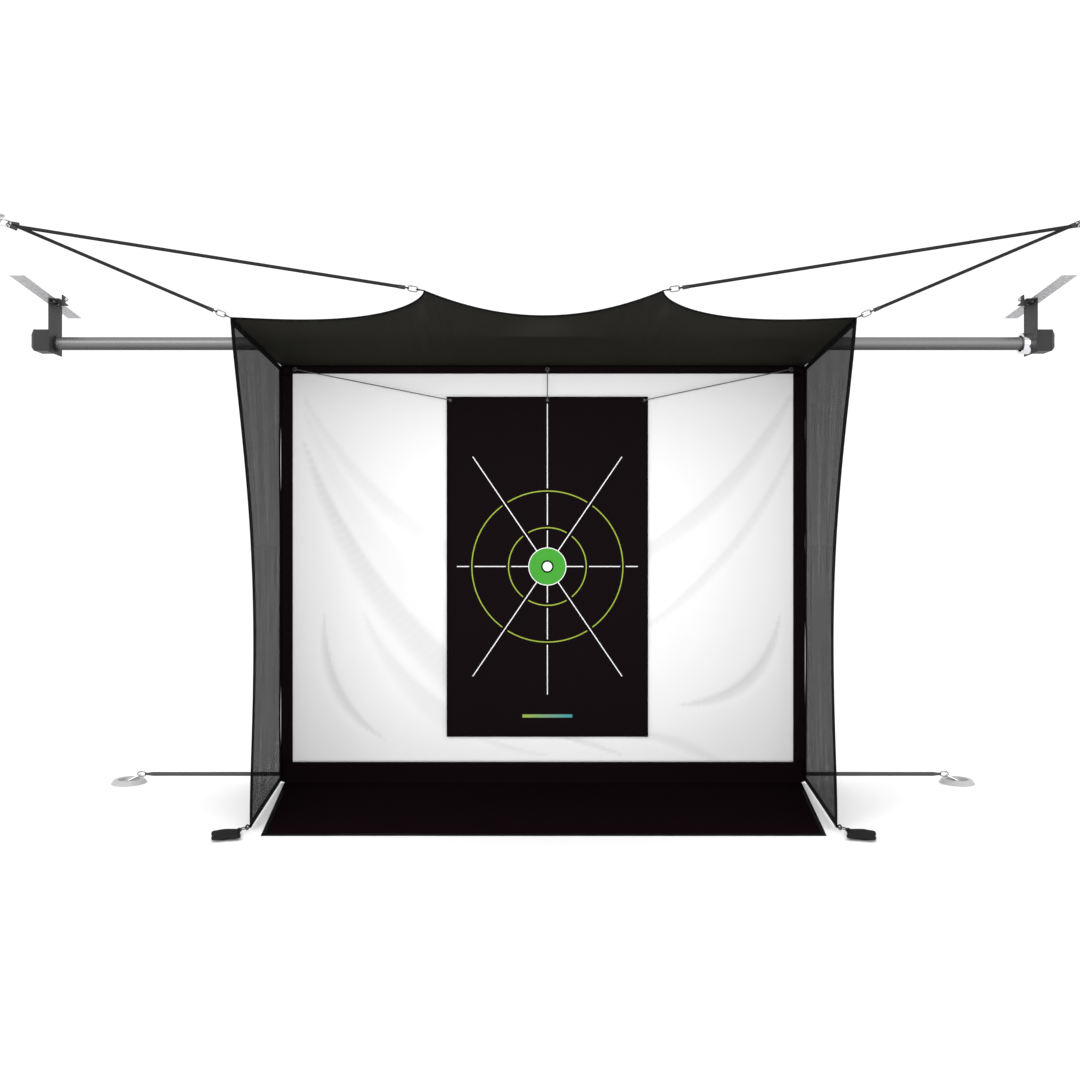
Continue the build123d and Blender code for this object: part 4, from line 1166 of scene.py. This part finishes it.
class GOLF_OT_skirt(EnclosureOperator, bpy.types.Operator):
    """One sheet: the black foot of the screen and the flap that lies on the floor"""

    bl_idname = "golf.skirt"
    bl_label = "Floor skirt"

    bend = 0.006                            # radius where the cloth turns onto the floor
    thick, hem_thick = 0.0016, 0.0026
    hem_wide, hem_side = 0.020, 0.018
    foot_y = 0.0010
    near_rows, near_share = 0.3, 0.135      # share of the rows kept for the foot and the bend

    def profile(self, distance):
        """Depth and height at a distance down the foot and along the floor."""
        drop = SCREEN_LOW.z - self.thick / 2 - self.bend
        turn = self.bend * math.pi / 2
        if distance <= drop:
            return self.foot_y, SCREEN_LOW.z - distance
        if distance <= drop + turn:
            angle = (distance - drop) / self.bend
            reach = self.bend * (1 - math.cos(angle))
            return self.foot_y - reach, self.thick / 2 + self.bend * (1 - math.sin(angle))
        return self.foot_y - self.bend - (distance - drop - turn), self.thick / 2

    def length(self):
        reach = FRONT - SKIRT_LOW.y + self.foot_y - self.bend
        return SCREEN_LOW.z - self.thick / 2 - self.bend + self.bend * math.pi / 2 + reach

    def half_width(self, depth):
        share = max(0.0, -depth) / (FRONT - SKIRT_LOW.y)
        return SKIRT_HIGH.x + (SKIRT_FRONT_HALF - SKIRT_HIGH.x) * share

    def point(self, u, v):
        rows, near = self.near_rows, self.near_share
        share = v * near / rows if v < rows else near + (v - rows) / (1 - rows) * (1 - near)
        depth, height = self.profile(share * self.length())
        half = NET_HALF - EDGE_GAP if depth > 0 else self.half_width(depth)
        x = half * (2 * u - 1)
        flat = min(1.0, max(0.0, -depth - 0.05) / 0.2)
        lift = 0.0024 * max(0.0, ripple((x, depth, 0), 2.6, 11.0)) * flat
        return at(x, depth, height + lift)

    def build(self):
        wide, long = 2 * NET_HALF, self.length()
        skirt = cloth_piece("skirt", self.point, 120, 90, (wide, long), self.thick)
        skirt.data.materials.append(FINISHES["skirt_cloth"])
        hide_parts("floor_skirt", "screen_foot")
        hem = new_piece("skirt_hem", joined("hem", self.hems(long)))
        thickened(hem, self.hem_thick)
        dress(hem, "black_tape", "skirt")
        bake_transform(skirt)
        sheet_area(self.point, 24, 60)

    def hems(self, long):
        """Front and side hems of the flap."""
        share = self.hem_wide / long

        def front(u, v):
            return self.point(u, 1 - v * share)

        def edge(side):
            def point(u, v):
                inner = u * self.hem_side / (2 * self.half_width(-0.5))
                return self.point(inner if side == LEFT else 1 - inner, 0.40 + 0.60 * v)
            return point

        return [grid_mesh("front", front, 120, 3, (2 * SKIRT_HIGH.x, self.hem_wide)),
                *(grid_mesh("side", edge(side), 3, 80, (self.hem_side, long)) for side in SIDES.values())]


class GOLF_OT_target(EnclosureOperator, bpy.types.Operator):
    """Hanging target sheet with its printed pattern and hem"""

    bl_idname = "golf.target"
    bl_label = "Target"

    hem_wide, thick, hem_thick = 0.016, 0.0012, 0.0022

    def point(self, u, v):
        size = TARGET_HIGH - TARGET_LOW
        x, z = TARGET_LOW.x + size.x * u, TARGET_LOW.z + size.z * v
        low = (1 - v) ** 2
        wave = 0.0009 * ripple((x, 0, z), 2.4, 15.0) + 0.0006 * low * math.sin(u * 11)
        return Vector((x, (TARGET_LOW.y + TARGET_HIGH.y) / 2 + wave, z))

    def build(self):
        size = TARGET_HIGH - TARGET_LOW
        sheet = cloth_piece("target", self.point, 100, 168, (size.x, size.z), self.thick)
        dress(sheet, "target_cloth", "target", "target_sheet")
        hem = thickened(new_piece("target_hem", joined("hem", self.hems(size))), self.hem_thick)
        dress(hem, "black_cloth", "target")

    def hems(self, size):
        wide, tall = self.hem_wide / size.x, self.hem_wide / size.z

        def part(u_low, u_high, v_low, v_high):
            return lambda u, v: self.point(u_low + (u_high - u_low) * u, v_low + (v_high - v_low) * v)

        across, down = (size.x, self.hem_wide), (self.hem_wide, size.z)
        return [grid_mesh("low", part(0, 1, 0, tall), 100, 3, across),
                grid_mesh("high", part(0, 1, 1 - tall, 1), 100, 3, across),
                grid_mesh("left", part(0, wide, tall, 1 - tall), 3, 160, down),
                grid_mesh("right", part(1 - wide, 1, tall, 1 - tall), 3, 160, down)]


class GOLF_OT_straps(EnclosureOperator, bpy.types.Operator):
    """Floor straps and the webbing tabs that carry the net's eyelets"""

    bl_idname = "golf.straps"
    bl_label = "Straps and tabs"

    half, loop_half, loop_r, thick = 0.010, 0.0058, 0.0046, 0.0015
    neck_half, nose_r, hole_r, tab_reach, tab_thick = 0.0065, 0.012, 0.0092, 0.026, 0.0024

    def build(self):
        for label, side in SIDES.items():
            strap = thickened(new_piece(f"{label}_strap", self.strap(side)), self.thick)
            dress(strap, "grey_webbing", "root", f"{label}_floor_strap")
        tabs = [self.tab(side, *TAB_FRAMES[name]) for side in SIDES.values() for name in TAB_FRAMES]
        piece = thickened(new_piece("corner_tabs", joined("tabs", tabs)), self.tab_thick)
        dress(piece, "black_tape", "root", "net_tabs")

    def centre_line(self):
        """The strap from above: out to its link's bar, round it, and back under itself."""
        gap = self.thick * 0.55
        line = [(x, -gap if x > STRAP_BAR - 0.09 else 0.0)
                for x in np.linspace(STRAP_START, STRAP_BAR - 0.012, 60)]
        for turn in np.linspace(-2.3, 2.3, 22):
            line.append((STRAP_BAR + self.loop_r * math.cos(turn), self.loop_r * math.sin(turn)))
        line += [(x, gap) for x in np.linspace(STRAP_BAR - 0.012, STRAP_BAR - 0.075, 10)]
        return line

    def strap(self, side):
        line = self.centre_line()
        steps = [math.dist(a, b) for a, b in zip(line, line[1:])]
        reach = [0.0, *np.cumsum(steps)]
        count = len(line) - 1

        def point(u, v):
            x, y = line[round(u * count)]
            near = min(1.0, max(0.0, (STRAP_BAR - x - 0.006) / 0.030))
            half = self.loop_half + (self.half - self.loop_half) * near
            twist = 0.0012 * math.sin((x - STRAP_START) * 9.0) * near
            return at(side * x, y + twist * (2 * v - 1), STRAP_Z + half * (2 * v - 1))

        mesh = grid_mesh("strap", point, count, 6, (reach[-1], 2 * self.half))
        if side == LEFT:
            mesh.flip_normals()
        return mesh

    def tab(self, side, origin, pull, sideways):
        """A webbing tab: a neck from under the tape and a round nose with a hole."""
        origin, pull, up = placed(side, origin), mirrored(side, pull), mirrored(side, sideways)
        across = pull.cross(up).normalized().cross(pull).normalized()

        def point(u, v):
            turn = math.tau * u
            lengthwise, crosswise = math.cos(turn), math.sin(turn)
            outer = self.nose_r
            if lengthwise < 0:
                ends = (self.tab_reach / max(-lengthwise, 1e-6), self.neck_half / max(abs(crosswise), 1e-6))
                outer = max(outer, min(ends))
            radius = self.hole_r + (outer - self.hole_r) * v
            return origin + pull * (radius * lengthwise) + across * (radius * crosswise)

        return merged(grid_mesh("tab", point, 96, 4, (0.075, 0.012)))


def merged(mesh):
    """Joins a mesh's doubled points, as where a ring of faces meets itself."""
    shape = bmesh.new()
    shape.from_mesh(mesh)
    bmesh.ops.remove_doubles(shape, verts=shape.verts, dist=1e-6)
    bmesh.ops.recalc_face_normals(shape, faces=shape.faces)
    shape.to_mesh(mesh)
    shape.free()
    return mesh


class GOLF_OT_weight_bags(EnclosureOperator, bpy.types.Operator):
    """Filled weight bags that hold the net's front corners down"""

    bl_idname = "golf.weight_bags"
    bl_label = "Weight bags"

    cells, start_thick, cap, piping_r = 26, 0.012, 0.022, 0.0022
    loop_r, loop_half, loop_thick, loop_back = 0.0068, 0.0058, 0.0014, 0.024

    def build(self):
        cover, seam = self.pillow()
        for label, side in SIDES.items():
            meshes = [self.turned(side, cover), self.turned(side, seam), self.loop(side)]
            for mesh in meshes[:2]:
                if side == LEFT:
                    mesh.flip_normals()
            bag = new_piece(f"{label}_bag", joined("bag", meshes))
            dress(bag, "bag_cloth", f"{label}_bag", f"{label}_weight_bag")
        for mesh in (cover, seam):
            bpy.data.meshes.remove(mesh)

    def pillow(self):
        """The bag's blown-up cover, and its piping, about their own middle."""
        shape = bmesh.new()
        bmesh.ops.create_cube(shape, size=1)
        bmesh.ops.subdivide_edges(shape, edges=shape.edges, cuts=self.cells - 1, use_grid_fill=True)
        half = BAG_HALF
        bmesh.ops.scale(shape, vec=(2 * half, 2 * half, self.start_thick), verts=shape.verts)
        mesh = bpy.data.meshes.new("cover")
        shape.to_mesh(mesh)
        shape.free()
        start = [v.co.copy() for v in mesh.vertices]
        self.inflate(mesh)
        for vertex, rest in zip(mesh.vertices, start):
            across = vertex.co - rest
            if across.length > self.cap:
                vertex.co = rest + across.normalized() * self.cap
        edge = [i for i, rest in enumerate(start) if max(abs(rest.x), abs(rest.y)) > half - 1e-5
                and abs(rest.z) < self.start_thick / self.cells * 0.6]
        edge.sort(key=lambda i: math.atan2(start[i].y, start[i].x))
        ring = [mesh.vertices[i].co.copy() for i in edge]
        piping = tube_mesh("piping", [*ring, ring[0]], self.piping_r, 8)
        self.settle(mesh)
        self.settle(piping)
        mesh.uv_layers.new(name="cloth")
        for loop in mesh.loops:
            spot = mesh.vertices[loop.vertex_index].co
            mesh.uv_layers["cloth"].data[loop.index].uv = (spot.x, spot.y + spot.z)
        return mesh, piping

    @staticmethod
    def inflate(mesh):
        body = new_piece("bag_form", mesh)
        cloth = body.modifiers.new("cloth", "CLOTH")
        cloth.settings.use_pressure = True
        cloth.settings.uniform_pressure_force = 5.0
        cloth.settings.effector_weights.gravity = 0.0
        cloth.settings.shrink_min = -0.02
        cloth.point_cache.frame_start, cloth.point_cache.frame_end = 1, 18
        for step in range(1, 19):
            bpy.context.scene.frame_set(step)
        shapes = bpy.context.evaluated_depsgraph_get()
        blown = body.evaluated_get(shapes).to_mesh()
        places = [v.co.copy() for v in blown.vertices]
        body.evaluated_get(shapes).to_mesh_clear()
        body.modifiers.clear()
        bpy.context.scene.frame_set(1)
        bpy.data.objects.remove(body)
        for vertex, place in zip(mesh.vertices, places):
            vertex.co = place

    @staticmethod
    def settle(mesh):
        """Lets the filling lie on the floor: a flat bottom and a rounded, slightly lumpy top."""
        tall = 0.5 * BAG_HIGH
        for vertex in mesh.vertices:
            spot = vertex.co
            if spot.z < 0:
                spot.z *= 0.62
            spot.z += 0.0012 * ripple((spot.x, spot.y, 0), 42.0, 5.0)
            spot.z = max(spot.z + tall * 0.62, 0.0008)

    def turned(self, side, mesh):
        """A copy laid corner first along the net's corner line, on its side of the enclosure."""
        copy = mesh.copy()
        way = mirrored(side, BAG_WAY)
        right = Vector((-way.y, way.x, 0))
        centre = placed(side, BAG_CENTRE)
        for vertex in copy.vertices:
            spot = vertex.co
            length, width = (spot.x + spot.y) / math.sqrt(2), (spot.x - spot.y) / math.sqrt(2)
            vertex.co = centre + way * length + right * (width * side) + Vector((0, 0, spot.z))
        return copy

    def loop(self, side):
        """Webbing loop from the bag's corner round its ring's bar."""
        way, bar, up = mirrored(side, BAG_WAY), placed(side, BAG_BAR), Vector((0, 0, 1))
        line = [bar + way * self.loop_back + up * 0.0012]
        for turn in np.linspace(0.45 * math.pi, 1.55 * math.pi, 17):
            line.append(bar + way * (self.loop_r * math.cos(turn)) + up * (self.loop_r * math.sin(turn)))
        line.append(bar + way * self.loop_back - up * 0.0012)
        sideways = Vector((-way.y, way.x, 0)) * self.loop_half

        def point(u, v):
            spot = line[round(u * (len(line) - 1))]
            return spot + sideways * (2 * v - 1)

        shell = new_piece("loop_form", grid_mesh("loop", point, len(line) - 1, 3, (0.07, 0.0116)))
        mesh = thickened(shell, self.loop_thick).data
        bpy.data.objects.remove(shell)
        return mesh


class GOLF_OT_stitching(EnclosureOperator, bpy.types.Operator):
    """Rows of stitches along the hems, tapes and seams"""

    bl_idname = "golf.stitching"
    bl_label = "Stitching"

    lift, tape_row, tape_inset = 0.0006, 0.019, 0.005

    def build(self):
        sew("seam_stitches", self.seams(), "root", "black_tape")
        sew("target_stitches", self.target_rows(), "target", "black_cloth")
        sew("skirt_stitches", self.skirt_rows(), "skirt", "black_tape")

    def seams(self):
        rows = []
        front = -self.lift - 0.0002
        for inset in (0.006, 0.026):
            x = SCREEN_HIGH.x - GOLF_OT_screen.overlap + inset
            top = SCREEN_HIGH.z - GOLF_OT_screen.overlap + inset / 2
            rows.append([at(-x, front, top), at(x, front, top)])
            for side in SIDES.values():
                rows.append([at(side * x, front, SCREEN_LOW.z), at(side * x, front, SCREEN_HIGH.z)])
        shares = np.linspace(0, 1, 61)
        for side in SIDES.values():
            for face in (-0.0024, 0.0024):
                off = Vector((side * face, 0, 0))
                for inset in (self.tape_inset, FRONT_TAPE - self.tape_inset):
                    rows.append([side_point(side, 1 - inset / row_length(side, v), v) + off
                                 for v in shares])
                for height in (self.tape_row / SIDE_TALL, 1 - self.tape_row / SIDE_TALL):
                    rows.append([side_point(side, u, height) + off for u in shares])
        for face in (-0.0015, 0.0015):
            off = Vector((0, 0, face))
            rows.append([GOLF_OT_top_net.hem_point(u, 0.2) + off for u in top_columns()])
        return rows

    def target_rows(self):
        low, high, inset = TARGET_LOW, TARGET_HIGH, 0.012
        front = (low.y + high.y) / 2 - 0.0011 - self.lift
        x_low, x_high, z_low, z_high = low.x + inset, high.x - inset, low.z + inset, high.z - inset
        corners = [(x_low, z_low), (x_high, z_low), (x_high, z_high), (x_low, z_high), (x_low, z_low)]
        spots = [Vector((x, front, z)) for x, z in corners]
        return [list(pair) for pair in zip(spots, spots[1:])]

    def skirt_rows(self):
        half, front, up = SKIRT_FRONT_HALF - 0.012, SKIRT_LOW.y - FRONT + 0.014, 0.0028
        rows = [[at(-half, front, up), at(half, front, up)]]
        for side in SIDES.values():
            rows.append([at(side * half, front, up), at(side * 1.21, -0.60, up)])
        return rows


class GOLF_OT_hardware(EnclosureOperator, bpy.types.Operator):
    """Finishes of the rails, brackets, roller, links and anchors"""

    bl_idname = "golf.hardware"
    bl_label = "Hardware finishes"

    def build(self):
        for part in frame["record"]["subparts"]:
            piece = frame["nodes"][part["node"]]
            if not piece.hide_render:
                piece.data.materials.clear()
                piece.data.materials.append(FINISHES[part["material_slot"]])


# ---- settings, panel and registration -----------------------------------------------
class EnclosureSettings(bpy.types.PropertyGroup):
    """All settings of the enclosure."""

    cloth: bpy.props.PointerProperty(type=ClothSettings, name="Cloth", description="Cloth and stitching")
    colours: bpy.props.PointerProperty(type=ColourSettings, name="Colours", description="Colours")
    stage: bpy.props.PointerProperty(type=StageSettings, name="Stage", description="Camera, floor and lights")


OPERATORS = (GOLF_OT_stage, GOLF_OT_bungee_cords, GOLF_OT_target_cords, GOLF_OT_screen, GOLF_OT_roller_cloth,
             GOLF_OT_top_net, GOLF_OT_side_nets, GOLF_OT_skirt, GOLF_OT_target, GOLF_OT_straps,
             GOLF_OT_weight_bags, GOLF_OT_stitching, GOLF_OT_hardware)


class GOLF_PT_enclosure(bpy.types.Panel):
    """Lists the enclosure's pieces and settings."""

    bl_idname = "GOLF_PT_enclosure"
    bl_label = "Golf Enclosure"
    bl_space_type = "VIEW_3D"
    bl_region_type = "UI"
    bl_category = "Golf Enclosure"

    def draw(self, context):
        for operator in OPERATORS:
            self.layout.operator(operator.bl_idname)
        groups = context.scene.golf_enclosure
        for group in (groups.cloth, groups.colours, groups.stage):
            box = self.layout.box()
            for name in group.bl_rna.properties.keys():
                if name not in ("rna_type", "name"):
                    box.prop(group, name)


CLASSES = (ClothSettings, ColourSettings, StageSettings, EnclosureSettings, *OPERATORS, GOLF_PT_enclosure)


def register():
    for kind in CLASSES:
        bpy.utils.register_class(kind)
    bpy.types.Scene.golf_enclosure = bpy.props.PointerProperty(type=EnclosureSettings)


def unregister():
    del bpy.types.Scene.golf_enclosure
    for kind in reversed(CLASSES):
        bpy.utils.unregister_class(kind)


def main():
    """Builds every piece in order."""
    register()
    FINISHES.update(make_finishes())
    for operator in OPERATORS:
        group, name = operator.bl_idname.split(".")
        getattr(getattr(bpy.ops, group), name)()


if __name__ == "__main__":
    main()
